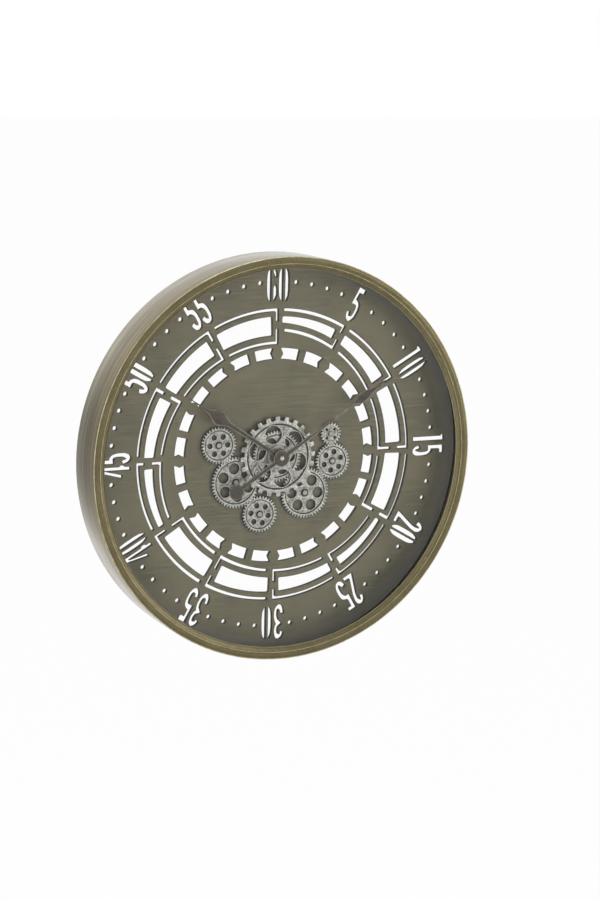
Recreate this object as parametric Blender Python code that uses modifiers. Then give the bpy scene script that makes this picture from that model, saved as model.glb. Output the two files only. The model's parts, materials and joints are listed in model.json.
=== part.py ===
"""Gear wall clock: rolled steel case, pierced dial, open gear train and quartz drive.

Everything is drawn in millimetres as seen from the front: u to the right, v up and f forward
from the middle of the dial's thickness.  FRAME turns that drawing into metres with +Z up and
the front facing -Y.  The origin is the centre of the case.
"""
import math

import bmesh
import bpy
from mathutils import Matrix

MM = 0.001
GAP = 0.3                      # clearance between pieces that touch

# Case: a rolled band, a front ring with a sloping lip and flat glass
CASE_R = 300.0
BAND_T = 1.2
BACK_FROM_DIAL = 30.6
FRONT_FROM_DIAL = 45.6
HEM_W = 3.0
CASE_STEPS = 48
EDGE_ROUND = 0.6
RIDGE_INSET = 11.0             # from the case's outside to the ring's ridge
RIDGE_DROP = 0.4
LIP_INSET = 18.0               # and to the edge of its lip
LIP_DROP = 5.5
SHEET_T = 1.5
SKIRT_LEN = 14.0
GLASS_T = 3.0

# Dial plate and the tabs it is screwed to
DIAL_T = 7.0
DIAL_EDGE_GAP = 1.2
TAB_COUNT = 4
TAB_FIRST = 45.0               # clock angle of the first tab
TAB_SPAN = 2.4                 # half angle in degrees
TAB_W = 14.0
TAB_LEG = 10.0
TAB_SCREW_FROM_WALL = 7.0
SCREW_SHANK_R = 1.4
SCREW_HEAD_R = 3.2
SCREW_HEAD_H = 2.0
SCREW_BITE = 4.0               # depth of a screw in the dial

# Openings in the dial: each ring is placed from the one outside it
SECTORS = 12
FIGURE_INSET = 72.5            # from the case's outside to the foot of the numerals
DOT_RISE = 31.3                # from that foot to the ring of dots
DOT_R = 3.5
DOT_PITCH = 5.7355             # degrees
DOTS_PER_SECTOR = 4
SLIT_OUT_STEP = 10.2           # from the foot of the numerals to the outer slits
WINDOW_STEP = 9.7              # from the outer slits to the windows
WINDOW_W = 15.6
WINDOW_START = 2.0             # degrees from the hour line
WINDOW_END = 27.5
SLIT_IN_STEP = 10.7            # from the windows to the inner slits
SPIRAL_SHIFT = 12.9            # offset of the inner arcs' centre
SPIRAL_TURN = 60.0             # how far the centre leads its block of four sectors
SLIT_W = 4.5
SLIT_OUT_START = 2.6
SLIT_IN_START = 3.3
SLIT_LINE = 29.7               # the closed end, on the hour line
BRIDGE = 11.4
BRIDGE_RISE = 1.8
ARROW_STEP = 7.4               # from the lowest inner slit to the arrows
ARROW_W = 16.7
ARROW_START = 2.1
ARROW_END = 13.1
ARROW_NOTCH = 1.45
CORNER_R = 3.0
ARC_STEP = 9.0                 # degrees between points of an arc

# Numerals, cut as slim stencil figures
FIGURE_H = 53.0
FIGURE_UNITS = 53              # height at which the figures are drawn below
FIGURE_W = 17.0
FIGURE_SPACE = 2.5
NIB_U = 3.0                    # half width of an upright stroke
NIB_V = 3.7                    # half height of a level stroke

# Gear train
MODULE = 1.55
BACKLASH = 0.36
TIP_HALF = 0.42
MID_TEETH = 48
SMALL_TEETH = 34
TINY_TEETH = 20
TRAIN = [                      # gear, its driver, teeth, direction of the centre line
    ("mid_gear_left", "center_gear", MID_TEETH, 208.9),
    ("mid_gear_right", "center_gear", MID_TEETH, -51.2),
    ("small_gear_left", "mid_gear_left", SMALL_TEETH, 116.0),
    ("small_gear_bottom", "mid_gear_left", SMALL_TEETH, -52.2),
    ("small_gear_right", "mid_gear_right", SMALL_TEETH, 45.7),
    ("tiny_gear", "small_gear_right", TINY_TEETH, 94.8),
]
HOLES_AT = {                   # direction of each gear's first lightening hole
    "center_gear": 56.0,
    "coarse_gear": 43.5,
    "mid_gear_left": 38.0,
    "mid_gear_right": 58.0,
    "small_gear_left": 62.0,
    "small_gear_bottom": 49.5,
    "small_gear_right": 80.0,
    "tiny_gear": 47.0,
}
MID_BOSS_R = 7.0
MID_HOLE_RING = 21.2
MID_HOLE_R = 8.4
SMALL_HOLE_RING = 14.0
SMALL_HOLE_R = 4.3
TINY_HOLE_RING = 8.4
TINY_HOLE_R = 2.0
GEAR_T = 3.2
GEAR_LIFT = 1.4                # from the dial to the meshing gears
RIM_RAISE = 0.7
RECESS_STEPS = 16
RIM_BEHIND_ROOT = 1.8
POST_R = 2.0
POST_RUN = 0.3                 # running clearance of a bore
POST_PROUD = 0.2               # of the gear that turns on it
GEAR_HEAD_R = 3.7
GEAR_HEAD_H = 2.0
FLANGE_T = 0.8
FLANGE_R = 5.0
COARSE_TEETH = 24
COARSE_TIP_R = 60.0
COARSE_ROOT_R = 54.0
COARSE_RIM_R = 49.9
COARSE_TIP_W = 6.4
COARSE_ROOT_W = 7.6
COARSE_LIFT = 5.8
COARSE_PHASE = 1.5
COARSE_BOSS_R = 16.0
COARSE_HOLE_RING = 33.9
COARSE_HOLE_R = 13.6
RIVET_AT = 208.6
RIVET_FROM_AXIS = 27.0
RIVET_R = 4.0
RIVET_T = 1.0
RIVET_EDGE = 0.4
RIVET_SHANK_R = 1.8

# Centre bearing
BUSH_R = 4.0
BUSH_FOOT_R = 6.0
BUSH_FOOT_T = 2.6
BUSH_PROUD = 0.5               # of its nut
SLEEVE_R = 6.5
SLEEVE_FLANGE_R = 10.5
HUB_R = 9.0
COLLAR_R = 12.0
WASHER_R = 8.4
WASHER_T = 0.8
NUT_FLATS = 11.0
NUT_T = 2.6
PIPE_R = 2.55
PIPE_RUN = 0.3
PIPE_PROUD = 0.4               # of the hour hand
PIPE_SHOULDER_R = 4.55
ARBOR_R = 1.2
ARBOR_PROUD = 0.9              # of the minute hand
ARBOR_SHOULDER_R = 3.0
SHOULDER_T = 1.2

# Hands, at about nine and a half minutes past ten
MINUTE_AT = 56.9               # clock angles in degrees
HOUR_AT = 303.2
HAND_T = 1.2
BOSS_R = 12.8
HOUR_FROM_NUT = 3.2
MINUTE_FROM_HOUR = 3.3
TAIL_HALF = 3.3
TAIL_LEN = 85.2
TAIL_DISC_R = 12.0
HOUR_LEN = 176.0
MINUTE_LEN = 200.0
CAP_R = 3.6
CAP_H = 2.8

# Clock movement behind the dial
HOUSING_CORNER_R = 3.0
MOVE_SIDE = 56.0
MOVE_T = 14.4
COVER_T = 1.6
COVER_EDGE = 1.0               # from the cover to the cell's bay
GASKET_R = 12.0
GASKET_T = 1.0
CELL_R = 7.0
CELL_LEN = 48.6
NUB_R = 2.7
NUB_LEN = 1.6
CONTACT_T = 0.5
CONTACT_W = 9.0
CONTACT_HALF = 3.0
BAY_SPARE = 0.6                # room for a cell across its bay
BAY_WALL = 2.0
BAY_FLOOR = 1.3
KNOB_R = 8.0
KNOB_H = 4.0
KNOB_U = 12.0
KNOB_V = 9.0
KNOB_SHAFT_R = 1.2
KNOB_DEPTH = 3.0
KNOB_EDGE = 0.8

# Gear drive behind the dial
DRIVE_W = 62.0
DRIVE_H = 68.0
DRIVE_T = 21.0
DRIVE_INSET = 12.0             # from the case's left side to the arbor
DRIVE_DROP = 26.0              # from its top to the arbor
DRIVE_SCREW_INSET = 5.0
DRIVE_FLOOR = 3.0
ARBOR_FOOT_R = 3.0
ARBOR_FOOT_DEPTH = 6.0
ARBOR_FOOT_T = 4.0
CELL_SPACE = 1.0
SWITCH_INSET = 14.0
SWITCH_DROP = 12.0
SWITCH_DEPTH = 3.0
SWITCH_TRAVEL = 4.0
SWITCH_W = 4.0
SWITCH_H = 6.0
SWITCH_RAISE = 2.0

# Hanger
HANGER_SPAN = 7.0
HANGER_DEPTH = 20.0
HANGER_T = 1.8
HANGER_LEG = 14.0
HANGER_BEND = 1.8              # keeps the flat of the plate clear of the hem
KEY_R = 4.0
KEY_SLOT_R = 2.0
KEY_SLOT_LEN = 6.0
KEY_EDGE = 2.5                 # metal below the keyhole

SHARP_ANGLE = 35.0             # shading breaks at corners sharper than this
CUT_PAST = 1.0                 # how far a cutter passes the face that it opens
DOME_TOP = 0.6                 # share of a domed head's radius where its top ends
DOME_SHARE = 0.86              # and of its height there
DOME_SIDE = 0.4                # height of its side

CASE_DEPTH = FRONT_FROM_DIAL + BACK_FROM_DIAL
DIAL_Y = CASE_DEPTH / 2 - BACK_FROM_DIAL
FRAME = Matrix.Rotation(math.pi / 2, 4, "X") @ Matrix.Scale(MM, 4)

RIDGE_R = CASE_R - RIDGE_INSET
LIP_R = CASE_R - LIP_INSET
FIGURE_BASE_R = CASE_R - FIGURE_INSET
DOT_RING_R = FIGURE_BASE_R + DOT_RISE
SLIT_OUT_R = FIGURE_BASE_R - SLIT_OUT_STEP
WINDOW_OUT_R = SLIT_OUT_R - WINDOW_STEP
WINDOW_IN_R = WINDOW_OUT_R - WINDOW_W
SLIT_IN_R = WINDOW_IN_R - SLIT_IN_STEP
ARROW_OUT_R = SLIT_IN_R - SPIRAL_SHIFT - ARROW_STEP
ARROW_IN_R = ARROW_OUT_R - ARROW_W
SECTOR = 360.0 / SECTORS

DIAL_FRONT = DIAL_T / 2
DIAL_BACK = -DIAL_T / 2
DIAL_R = CASE_R - BAND_T - DIAL_EDGE_GAP
GEAR_BACK = DIAL_FRONT + GEAR_LIFT
GEAR_FRONT = GEAR_BACK + GEAR_T
COARSE_BACK = DIAL_FRONT + COARSE_LIFT
COARSE_FRONT = COARSE_BACK + GEAR_T
HUB_FRONT = COARSE_FRONT + POST_PROUD
WASHER_BACK = HUB_FRONT + 2 * GAP
NUT_BACK = WASHER_BACK + WASHER_T + GAP
BUSH_FRONT = NUT_BACK + NUT_T + BUSH_PROUD
HOUR_BACK = BUSH_FRONT + HOUR_FROM_NUT
MINUTE_BACK = HOUR_BACK + HAND_T + MINUTE_FROM_HOUR
MOVE_FRONT = DIAL_BACK - GASKET_T - 2 * GAP
MOVE_BACK = MOVE_FRONT - MOVE_T
DRIVE_FRONT = DIAL_BACK - GAP
DRIVE_BACK = DRIVE_FRONT - DRIVE_T
POST_FRONT = GEAR_FRONT + POST_PROUD
BAY_H = 2 * CELL_R + 2 * BAY_SPARE
WALL_R = (CASE_R - BAND_T) * math.cos(math.pi / CASE_STEPS) - GAP
BAY_LEN = CELL_LEN + NUB_LEN + 2 * CONTACT_T + 4 * GAP


# Drawing helpers

def polar(radius, degrees, centre=(0.0, 0.0)):
    """Point at an angle counter-clockwise from +u."""
    angle = math.radians(degrees)
    return (centre[0] + radius * math.cos(angle), centre[1] + radius * math.sin(angle))


def on_dial(radius, clock, side=0.0):
    """Point at a clock angle, moved sideways (clockwise) from that line."""
    angle = math.radians(clock)
    return (radius * math.sin(angle) + side * math.cos(angle),
            radius * math.cos(angle) - side * math.sin(angle))


def circle(radius, count, centre=(0.0, 0.0), turn=0.0):
    return [polar(radius, turn + 360 * i / count, centre) for i in range(count)]


def hole(radius, count, centre=(0.0, 0.0), turn=0.0):
    """Polygon whose flats, not corners, lie at the radius."""
    return circle(radius / math.cos(math.pi / count), count, centre, turn)


def rectangle(width, height, centre=(0.0, 0.0)):
    u, v = centre
    return [(u - width / 2, v - height / 2), (u + width / 2, v - height / 2),
            (u + width / 2, v + height / 2), (u - width / 2, v + height / 2)]


def fillet(points, radius, steps, sharp=35.0):
    """Round every corner that turns by more than the sharp angle."""
    result = []
    for i, here in enumerate(points):
        before = points[i - 1]
        after = points[(i + 1) % len(points)]
        into = (here[0] - before[0], here[1] - before[1])
        out = (after[0] - here[0], after[1] - here[1])
        turn = math.degrees(math.atan2(into[0] * out[1] - into[1] * out[0],
                                       into[0] * out[0] + into[1] * out[1]))
        if abs(turn) < sharp:
            result.append(here)
            continue
        reach = radius * math.tan(math.radians(abs(turn)) / 2)
        reach = min(reach, 0.45 * math.hypot(*into), 0.45 * math.hypot(*out))
        start = [here[k] - into[k] / math.hypot(*into) * reach for k in (0, 1)]
        end = [here[k] + out[k] / math.hypot(*out) * reach for k in (0, 1)]
        for step in range(steps + 1):
            t = step / steps
            result.append(tuple((1 - t) ** 2 * start[k] + 2 * t * (1 - t) * here[k]
                                + t ** 2 * end[k] for k in (0, 1)))
    return result


def stroke(path):
    """Outline of a pen line drawn with a nib that is wider one way than the other."""
    left = []
    right = []
    for i, (u, v) in enumerate(path):
        normals = []
        for a, b in ((i - 1, i), (i, i + 1)):
            if a >= 0 and b < len(path):
                du = path[b][0] - path[a][0]
                dv = path[b][1] - path[a][1]
                size = math.hypot(du, dv)
                normals.append((-dv / size, du / size))
        nu = sum(n[0] for n in normals)
        nv = sum(n[1] for n in normals)
        scale = len(normals) / (nu * nu + nv * nv)
        left.append((u + NIB_U * nu * scale, v + NIB_V * nv * scale))
        right.append((u - NIB_U * nu * scale, v - NIB_V * nv * scale))
    return left + right[::-1]


def mirrored(points):
    return [(-u, v) for u, v in points]


# Object helpers

def collection(name):
    found = bpy.data.collections.get(name)
    if found is None:
        found = bpy.data.collections.new(name)
        bpy.context.scene.collection.children.link(found)
    return found


def material(name, colour, roughness, metallic):
    made = bpy.data.materials.new(name)
    made.use_nodes = True
    shader = made.node_tree.nodes["Principled BSDF"]
    shader.inputs["Base Color"].default_value = (*colour, 1.0)
    shader.inputs["Roughness"].default_value = roughness
    shader.inputs["Metallic"].default_value = metallic
    return made


def evaluated_mesh(source):
    """Mesh of an object with its modifiers or curve settings applied, welded and facing out."""
    bpy.context.view_layer.update()
    graph = bpy.context.evaluated_depsgraph_get()
    mesh = bpy.data.meshes.new_from_object(source.evaluated_get(graph))
    work = bmesh.new()
    work.from_mesh(mesh)
    bmesh.ops.remove_doubles(work, verts=work.verts, dist=0.0001)
    bmesh.ops.recalc_face_normals(work, faces=work.faces)
    work.to_mesh(mesh)
    work.free()
    return mesh


def finished(name, mesh, surface, smooth):
    """Turn a drawn mesh into metres and give it its material and shading."""
    mesh.transform(FRAME)
    mesh.name = name
    mesh.materials.clear()
    if surface is not None:
        mesh.materials.append(surface)
    if smooth:
        mesh.shade_smooth()
        mesh.set_sharp_from_angle(angle=math.radians(SHARP_ANGLE))
    return mesh


def put(name, mesh, at=(0.0, 0.0)):
    """Object whose origin lies on its own axis, in the middle plane of the dial."""
    made = bpy.data.objects.new(name, mesh)
    made.location = (at[0] * MM, DIAL_Y * MM, at[1] * MM)
    if mesh.materials:
        collection("gear_wall_clock").objects.link(made)
    else:
        collection("cutters").objects.link(made)
        made.hide_render = True
        made.display_type = "WIRE"
    return made


def place(name, mesh, surface, at=(0.0, 0.0), smooth=False):
    return put(name, finished(name, mesh, surface, smooth), at)


def place_each(spots, mesh, surface, smooth=False):
    """The same piece at several named places."""
    finished(next(iter(spots)), mesh, surface, smooth)
    for name, at in spots.items():
        put(name, mesh, at)


def plate_mesh(outlines, back, front):
    """Flat solid between two levels: the first outline is its edge, the rest are holes."""
    curve = bpy.data.curves.new("outline", "CURVE")
    curve.dimensions = "2D"
    curve.fill_mode = "BOTH"
    curve.extrude = (front - back) / 2
    for outline in outlines:
        spline = curve.splines.new("POLY")
        spline.points.add(len(outline) - 1)
        for point, (u, v) in zip(spline.points, outline):
            point.co = (u, v, 0.0, 1.0)
        spline.use_cyclic_u = True
    holder = bpy.data.objects.new("outline", curve)
    bpy.context.scene.collection.objects.link(holder)
    mesh = evaluated_mesh(holder)
    bpy.data.objects.remove(holder)
    mesh.transform(Matrix.Translation((0.0, 0.0, (front + back) / 2)))
    return mesh


def plate(name, outlines, back, front, surface, at=(0.0, 0.0)):
    return place(name, plate_mesh(outlines, back, front), surface, at)


def turned_mesh(profile, steps, closed=True):
    """Solid of revolution about the forward axis, from (radius, forward) points."""
    mesh = bpy.data.meshes.new("profile")
    count = len(profile)
    edges = [(i, i + 1) for i in range(count - 1)]
    if closed:
        edges.append((count - 1, 0))
    mesh.from_pydata([(r, 0.0, f) for r, f in profile], edges, [])
    holder = bpy.data.objects.new("profile", mesh)
    bpy.context.scene.collection.objects.link(holder)
    screw = holder.modifiers.new("turn", "SCREW")
    screw.axis = "Z"
    screw.steps = steps
    screw.render_steps = steps
    screw.use_merge_vertices = True
    screw.merge_threshold = 0.0001
    solid = evaluated_mesh(holder)
    bpy.data.objects.remove(holder)
    return solid


def turned(name, profile, steps, surface, at=(0.0, 0.0), closed=True):
    return place(name, turned_mesh(profile, steps, closed), surface, at, smooth=True)


def dome(radius, back, height):
    """Profile of a domed head, from its middle to the rim of its flat back."""
    return [(0.0, back + height), (radius * DOME_TOP, back + height * DOME_SHARE),
            (radius, back + height * DOME_SIDE), (radius, back)]


def drills(name, spots, radius, back, front):
    """One cutter for a set of like holes."""
    work = bmesh.new()
    for at in spots:
        work.from_mesh(plate_mesh([hole(radius, 6, at)], back, front))
    mesh = bpy.data.meshes.new(name)
    work.to_mesh(mesh)
    work.free()
    return place(name, mesh, None)


def sector_mesh(profile, clock, span):
    """Closed profile of (radius, forward) points swept through a short arc of the case."""
    work = bmesh.new()
    ring = [work.verts.new((r, 0.0, f)) for r, f in profile]
    face = work.faces.new(ring)
    bmesh.ops.rotate(work, verts=work.verts, cent=(0, 0, 0),
                     matrix=Matrix.Rotation(math.radians(90 - clock - span), 3, "Z"))
    steps = max(1, round(span / 2))
    bmesh.ops.spin(work, geom=[face] + list(face.edges) + ring, cent=(0, 0, 0), axis=(0, 0, 1),
                   angle=math.radians(2 * span), steps=steps, use_merge=False)
    bmesh.ops.remove_doubles(work, verts=work.verts, dist=0.0001)
    bmesh.ops.recalc_face_normals(work, faces=work.faces)
    mesh = bpy.data.meshes.new("sector")
    work.to_mesh(mesh)
    work.free()
    return mesh


def cut(target, *cutters, solver="EXACT"):
    for cutter in cutters:
        difference = target.modifiers.new(cutter.name, "BOOLEAN")
        difference.operation = "DIFFERENCE"
        difference.solver = solver
        difference.object = cutter


# Dial outlines

def arc(radius_at, start, end):
    """Points on the dial between two clock angles, at a radius that may change with the angle."""
    count = 1 + max(1, round(abs(end - start) / ARC_STEP))
    angles = [start + (end - start) * i / (count - 1) for i in range(count)]
    return [on_dial(radius_at(angle), angle) for angle in angles]


def spiral(radius, sector):
    """The inner arcs of four sectors lie on one circle whose centre is off the dial's."""
    first = SECTOR * (sector - sector % 4)

    def radius_at(clock):
        return radius + SPIRAL_SHIFT * math.cos(math.radians(clock - first + SPIRAL_TURN))
    return radius_at


def window(sector):
    start = SECTOR * sector + WINDOW_START
    end = SECTOR * sector + WINDOW_END
    outline = arc(lambda clock: WINDOW_OUT_R, start, end)
    outline += arc(spiral(WINDOW_IN_R, sector), end, start)
    return fillet(outline, CORNER_R, 1)


def slit(radius_at, start, line, stop_r, away):
    """Arc slit that turns along the hour line and ends at a bridge."""
    half = SLIT_W / 2
    far = arc(lambda clock: radius_at(clock) + away * half, start, line)
    near = arc(lambda clock: radius_at(clock) - away * half, start, line)
    corner_r = radius_at(line)
    far[-1] = on_dial(corner_r + away * half, line, half)
    near[-1] = on_dial(corner_r - away * half, line, -half)
    return far + [on_dial(stop_r, line, half), on_dial(stop_r, line, -half)] + near[::-1]


def slit_pair(sector):
    line = SECTOR * sector + SLIT_LINE
    inner_at = spiral(SLIT_IN_R, sector)
    middle = (SLIT_OUT_R + inner_at(line)) / 2 + BRIDGE_RISE
    outer = slit(lambda clock: SLIT_OUT_R, SECTOR * sector + SLIT_OUT_START, line,
                 middle + BRIDGE / 2, 1)
    inner = slit(inner_at, SECTOR * sector + SLIT_IN_START, line, middle - BRIDGE / 2, -1)
    return [outer, inner]


def arrow(hour_line, way):
    """Window with a V cut into the end that faces the hour line."""
    start = hour_line + way * ARROW_START
    end = hour_line + way * ARROW_END
    notch = on_dial((ARROW_IN_R + ARROW_OUT_R) / 2, start + way * ARROW_NOTCH)
    outer = arc(lambda clock: ARROW_OUT_R, start, end)
    inner = arc(lambda clock: ARROW_IN_R, end, start)
    return outer + inner + [notch]


def dots():
    first = SECTOR / 2 - DOT_PITCH * (DOTS_PER_SECTOR - 1) / 2
    for sector in range(SECTORS):
        for i in range(DOTS_PER_SECTOR):
            clock = SECTOR * sector + first + DOT_PITCH * i
            yield hole(DOT_R, 6, on_dial(DOT_RING_R, clock), 90 - clock)


HALF_OVAL = [(-1.75, 2.7), (-1.75, 51.8), (-4.9, 51.8), (-8.5, 41.0), (-8.5, 13.5),
             (-4.9, 2.7)]

FIGURES = {
    "0": [HALF_OVAL, mirrored(HALF_OVAL)],
    "1": [[(-5.3, 0.5), (1.5, 0.5), (1.5, 53.0), (-7.6, 53.0), (-7.6, 50.2), (-5.3, 47.5)]],
    "2": [stroke([(-5.5, 38.5), (-4.6, 46.5), (-0.6, 50.4), (3.5, 47.5), (4.6, 40.5),
                  (3.2, 31.0), (-5.2, 3.7), (8.3, 3.7)])],
    "3": [stroke([(-5.9, 41.5), (-4.3, 48.6), (1.2, 49.6), (4.4, 41.5), (3.6, 33.5),
                  (0.9, 29.8), (4.2, 24.0), (4.7, 12.0), (1.2, 4.2), (-4.2, 5.4),
                  (-6.1, 14.5)])],
    "4": [[(-9.9, 13.5), (-5.0, 13.5), (1.8, 42.0), (1.8, 1.0), (7.0, 1.0), (7.0, 9.5),
           (9.2, 14.0), (7.0, 18.5), (7.0, 48.0), (-1.2, 48.0)]],
    "5": [stroke([(4.5, 49.8), (-4.7, 49.8), (-4.7, 30.4), (1.2, 30.2), (4.9, 22.5),
                  (4.7, 9.0), (0.6, 3.7), (-4.0, 5.7), (-6.1, 13.5)])],
    "6": [HALF_OVAL,
          [(1.75, 2.7), (4.9, 2.7), (8.3, 13.0), (7.6, 24.0), (5.0, 31.5), (1.75, 22.0)],
          [(0.3, 51.8), (1.2, 46.5), (4.8, 38.5), (7.8, 40.0), (4.9, 51.8)]],
}
FIGURE_WIDTHS = {"1": 10.7}


def numeral(text, clock):
    """Outlines of a number standing on its hour line, its top outwards."""
    scale = FIGURE_H / FIGURE_UNITS
    widths = [FIGURE_WIDTHS.get(figure, FIGURE_W) for figure in text]
    left = -(sum(widths) + FIGURE_SPACE * (len(text) - 1)) / 2
    for figure, width in zip(text, widths):
        middle = left + width / 2
        for outline in FIGURES[figure]:
            yield [on_dial(FIGURE_BASE_R + scale * v, clock, scale * (middle + u))
                   for u, v in outline]
        left += width + FIGURE_SPACE


# Gears

def pitch_r(teeth):
    return MODULE * teeth / 2


def tooth_half():
    return math.pi * MODULE / 4 - BACKLASH / 2


def root_r(teeth):
    """Radius where the straight flanks of two teeth meet."""
    slope = (tooth_half() - TIP_HALF) / MODULE
    share = math.pi / teeth
    return pitch_r(teeth) - (share * pitch_r(teeth) - tooth_half()) / (slope + share)


def gear_edge(teeth, phase):
    """Three points a tooth: the root before it and the two corners of its tip."""
    tip = pitch_r(teeth) + MODULE
    half = math.degrees(TIP_HALF / tip)
    points = []
    for i in range(teeth):
        middle = phase + 360 * i / teeth
        points.append(polar(root_r(teeth), middle - 180 / teeth))
        points.append(polar(tip, middle - half))
        points.append(polar(tip, middle + half))
    return points


def coarse_edge(phase):
    root = math.degrees(COARSE_ROOT_W / 2 / COARSE_ROOT_R)
    tip = math.degrees(COARSE_TIP_W / 2 / COARSE_TIP_R)
    points = []
    for i in range(COARSE_TEETH):
        middle = phase + 360 * i / COARSE_TEETH
        points.append(polar(COARSE_ROOT_R, middle - root))
        points.append(polar(COARSE_TIP_R, middle - tip))
        points.append(polar(COARSE_TIP_R, middle + tip))
        points.append(polar(COARSE_ROOT_R, middle + root))
    return points


def mesh_phase(phase, teeth, next_teeth, direction):
    """Phase of a gear that meshes with another one lying in the given direction from it."""
    offset = (direction - phase) % (360 / teeth)
    return direction + 180 + offset * teeth / next_teeth + 180 / next_teeth


def turn_out(wheel, boss_r, rim_r, front, at):
    """Sink the web of a gear between its boss and its rim."""
    floor = front - RIM_RAISE
    past = front + CUT_PAST
    cut(wheel, turned(wheel.name + "_recess",
                      [(boss_r, floor), (rim_r, floor), (rim_r, past), (boss_r, past)],
                      RECESS_STEPS, None, at))


def ring_of_holes(ring_r, radius, count, sides, first):
    return [hole(radius, sides, polar(ring_r, first + 360 * i / count)) for i in range(count)]


# Hands

def hand_edge(root_half, length, leaf, tail):
    """Outline of a hand along +u: a round boss, a leaf blade and an optional tail."""
    blade = [(BOSS_R, root_half)] + [(length - back, half) for back, half in leaf]

    def side(points, sign):
        return [(s, sign * half) for s, half in points]

    root = math.degrees(math.asin(blade[0][1] / BOSS_R))
    back = math.degrees(math.asin(tail[0][1] / BOSS_R)) if tail else 0.0
    upper = [polar(BOSS_R, root + (180 - back - root) * i / 8) for i in range(9 if tail else 8)]
    lower = [(u, -v) for u, v in upper[::-1]]
    if not tail:
        upper.append((-BOSS_R, 0.0))
    tail_points = side([(-s, half) for s, half in tail[1:]], 1)
    tail_points += side([(-s, half) for s, half in tail[:0:-1]], -1)
    return upper + tail_points + lower + side(blade[1:], -1) + side(blade[:0:-1], 1)


def spun(points, clock):
    """Turn an outline drawn along +u to a clock angle."""
    return [on_dial(u, clock, -v) for u, v in points]


def tail_shape(half, disc_at, disc_r):
    """Bar that ends in a round disc."""
    start = math.degrees(math.asin(half / disc_r))
    points = [(BOSS_R, half)]
    for i in range(7):
        angle = math.radians(start + (180 - start) * i / 6)
        points.append((disc_at - disc_r * math.cos(angle), disc_r * math.sin(angle)))
    return points


# Leaves of the hands: distance back from the tip and half width there
HOUR_LEAF = [(76.0, 3.6), (69.0, 6.6), (64.0, 9.8), (58.0, 11.3), (52.0, 9.6), (45.0, 5.8),
             (36.0, 2.8), (24.0, 1.3), (0.0, 0.5)]
MINUTE_LEAF = [(61.0, 1.2), (56.0, 4.0), (51.5, 6.8), (46.5, 8.4), (39.0, 7.2), (30.0, 5.2),
               (19.0, 2.8), (0.0, 0.5)]
HOUR_ROOT_HALF = 3.0
MINUTE_ROOT_HALF = 3.4


# Build

def tab_clock(index):
    return TAB_FIRST + 360 * index / TAB_COUNT


def clear_scene():
    for old in list(bpy.data.objects):
        bpy.data.objects.remove(old)


def build_case(paint):
    rear = -BACK_FROM_DIAL
    band_front = FRONT_FROM_DIAL - SHEET_T - GAP
    inner = CASE_R - BAND_T
    turned("case_band", [(CASE_R, band_front), (CASE_R, rear), (CASE_R - HEM_W, rear),
                         (CASE_R - HEM_W, rear + BAND_T), (inner, rear + BAND_T),
                         (inner, band_front)], CASE_STEPS, paint["bronze"])

    front = FRONT_FROM_DIAL
    under = front - SHEET_T
    skirt_out = inner - GAP
    skirt_in = skirt_out - SHEET_T
    turned("front_bezel", [(CASE_R - EDGE_ROUND, front), (CASE_R, front - EDGE_ROUND),
                           (CASE_R, under), (skirt_out, under),
                           (skirt_out, under - SKIRT_LEN), (skirt_in, under - SKIRT_LEN),
                           (skirt_in, under - RIDGE_DROP), (LIP_R, front - LIP_DROP - SHEET_T),
                           (LIP_R, front - LIP_DROP), (RIDGE_R, front - RIDGE_DROP)],
           CASE_STEPS, paint["gilt"])

    glass_front = front - LIP_DROP - SHEET_T - GAP
    plate("cover_glass", [circle(skirt_in - 2 * GAP, CASE_STEPS)], glass_front - GLASS_T,
          glass_front, paint["glass"])


def build_dial(paint, posts, arbor_at, pilots):
    outlines = [circle(DIAL_R, CASE_STEPS)]
    for sector in range(SECTORS):
        outlines.append(window(sector))
        outlines += slit_pair(sector)
        outlines.append(arrow(SECTOR * sector, 1))
        outlines.append(arrow(SECTOR * sector, -1))
        outlines += numeral(str(5 * sector + 5), SECTOR * (sector + 1))
    outlines += dots()
    outlines.append(hole(BUSH_R + GAP, 12))
    outlines += [hole(POST_R + GAP, 8, at) for at in list(posts.values()) + [arbor_at]]
    dial = plate("dial_plate", outlines, DIAL_BACK, DIAL_FRONT, paint["dial"])
    cut(dial, drills("dial_pilots", pilots, SCREW_SHANK_R + GAP, DIAL_BACK - CUT_PAST,
                     DIAL_BACK + SCREW_BITE + 2 * GAP), solver="MANIFOLD")


def build_tabs(paint, screws):
    """Angle tabs welded inside the case; the dial is screwed to them from behind."""
    top = DIAL_BACK - GAP
    low = top - TAB_LEG
    inside = WALL_R - SHEET_T
    edge = WALL_R - TAB_W
    profile = [(WALL_R, top), (WALL_R, low), (inside, low), (inside, top - SHEET_T),
               (edge, top - SHEET_T), (edge, top)]
    for i, spot in enumerate(screws.values()):
        name = f"dial_tab_{i + 1}"
        tab = place(name, sector_mesh(profile, tab_clock(i), TAB_SPAN), paint["steel"])
        cut(tab, plate(name + "_hole", [hole(SCREW_SHANK_R + GAP, 6)],
                       top - SHEET_T - CUT_PAST, top + CUT_PAST, None, spot))


def screw_mesh(head_back, tip):
    """Pan head screw driven forward from behind."""
    head_front = head_back - GAP
    return turned_mesh([(0.0, tip), (SCREW_SHANK_R, tip), (SCREW_SHANK_R, head_front),
                        (SCREW_HEAD_R, head_front),
                        (SCREW_HEAD_R * 0.8, head_front - SCREW_HEAD_H),
                        (0.0, head_front - SCREW_HEAD_H)], 8, closed=False)


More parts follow.
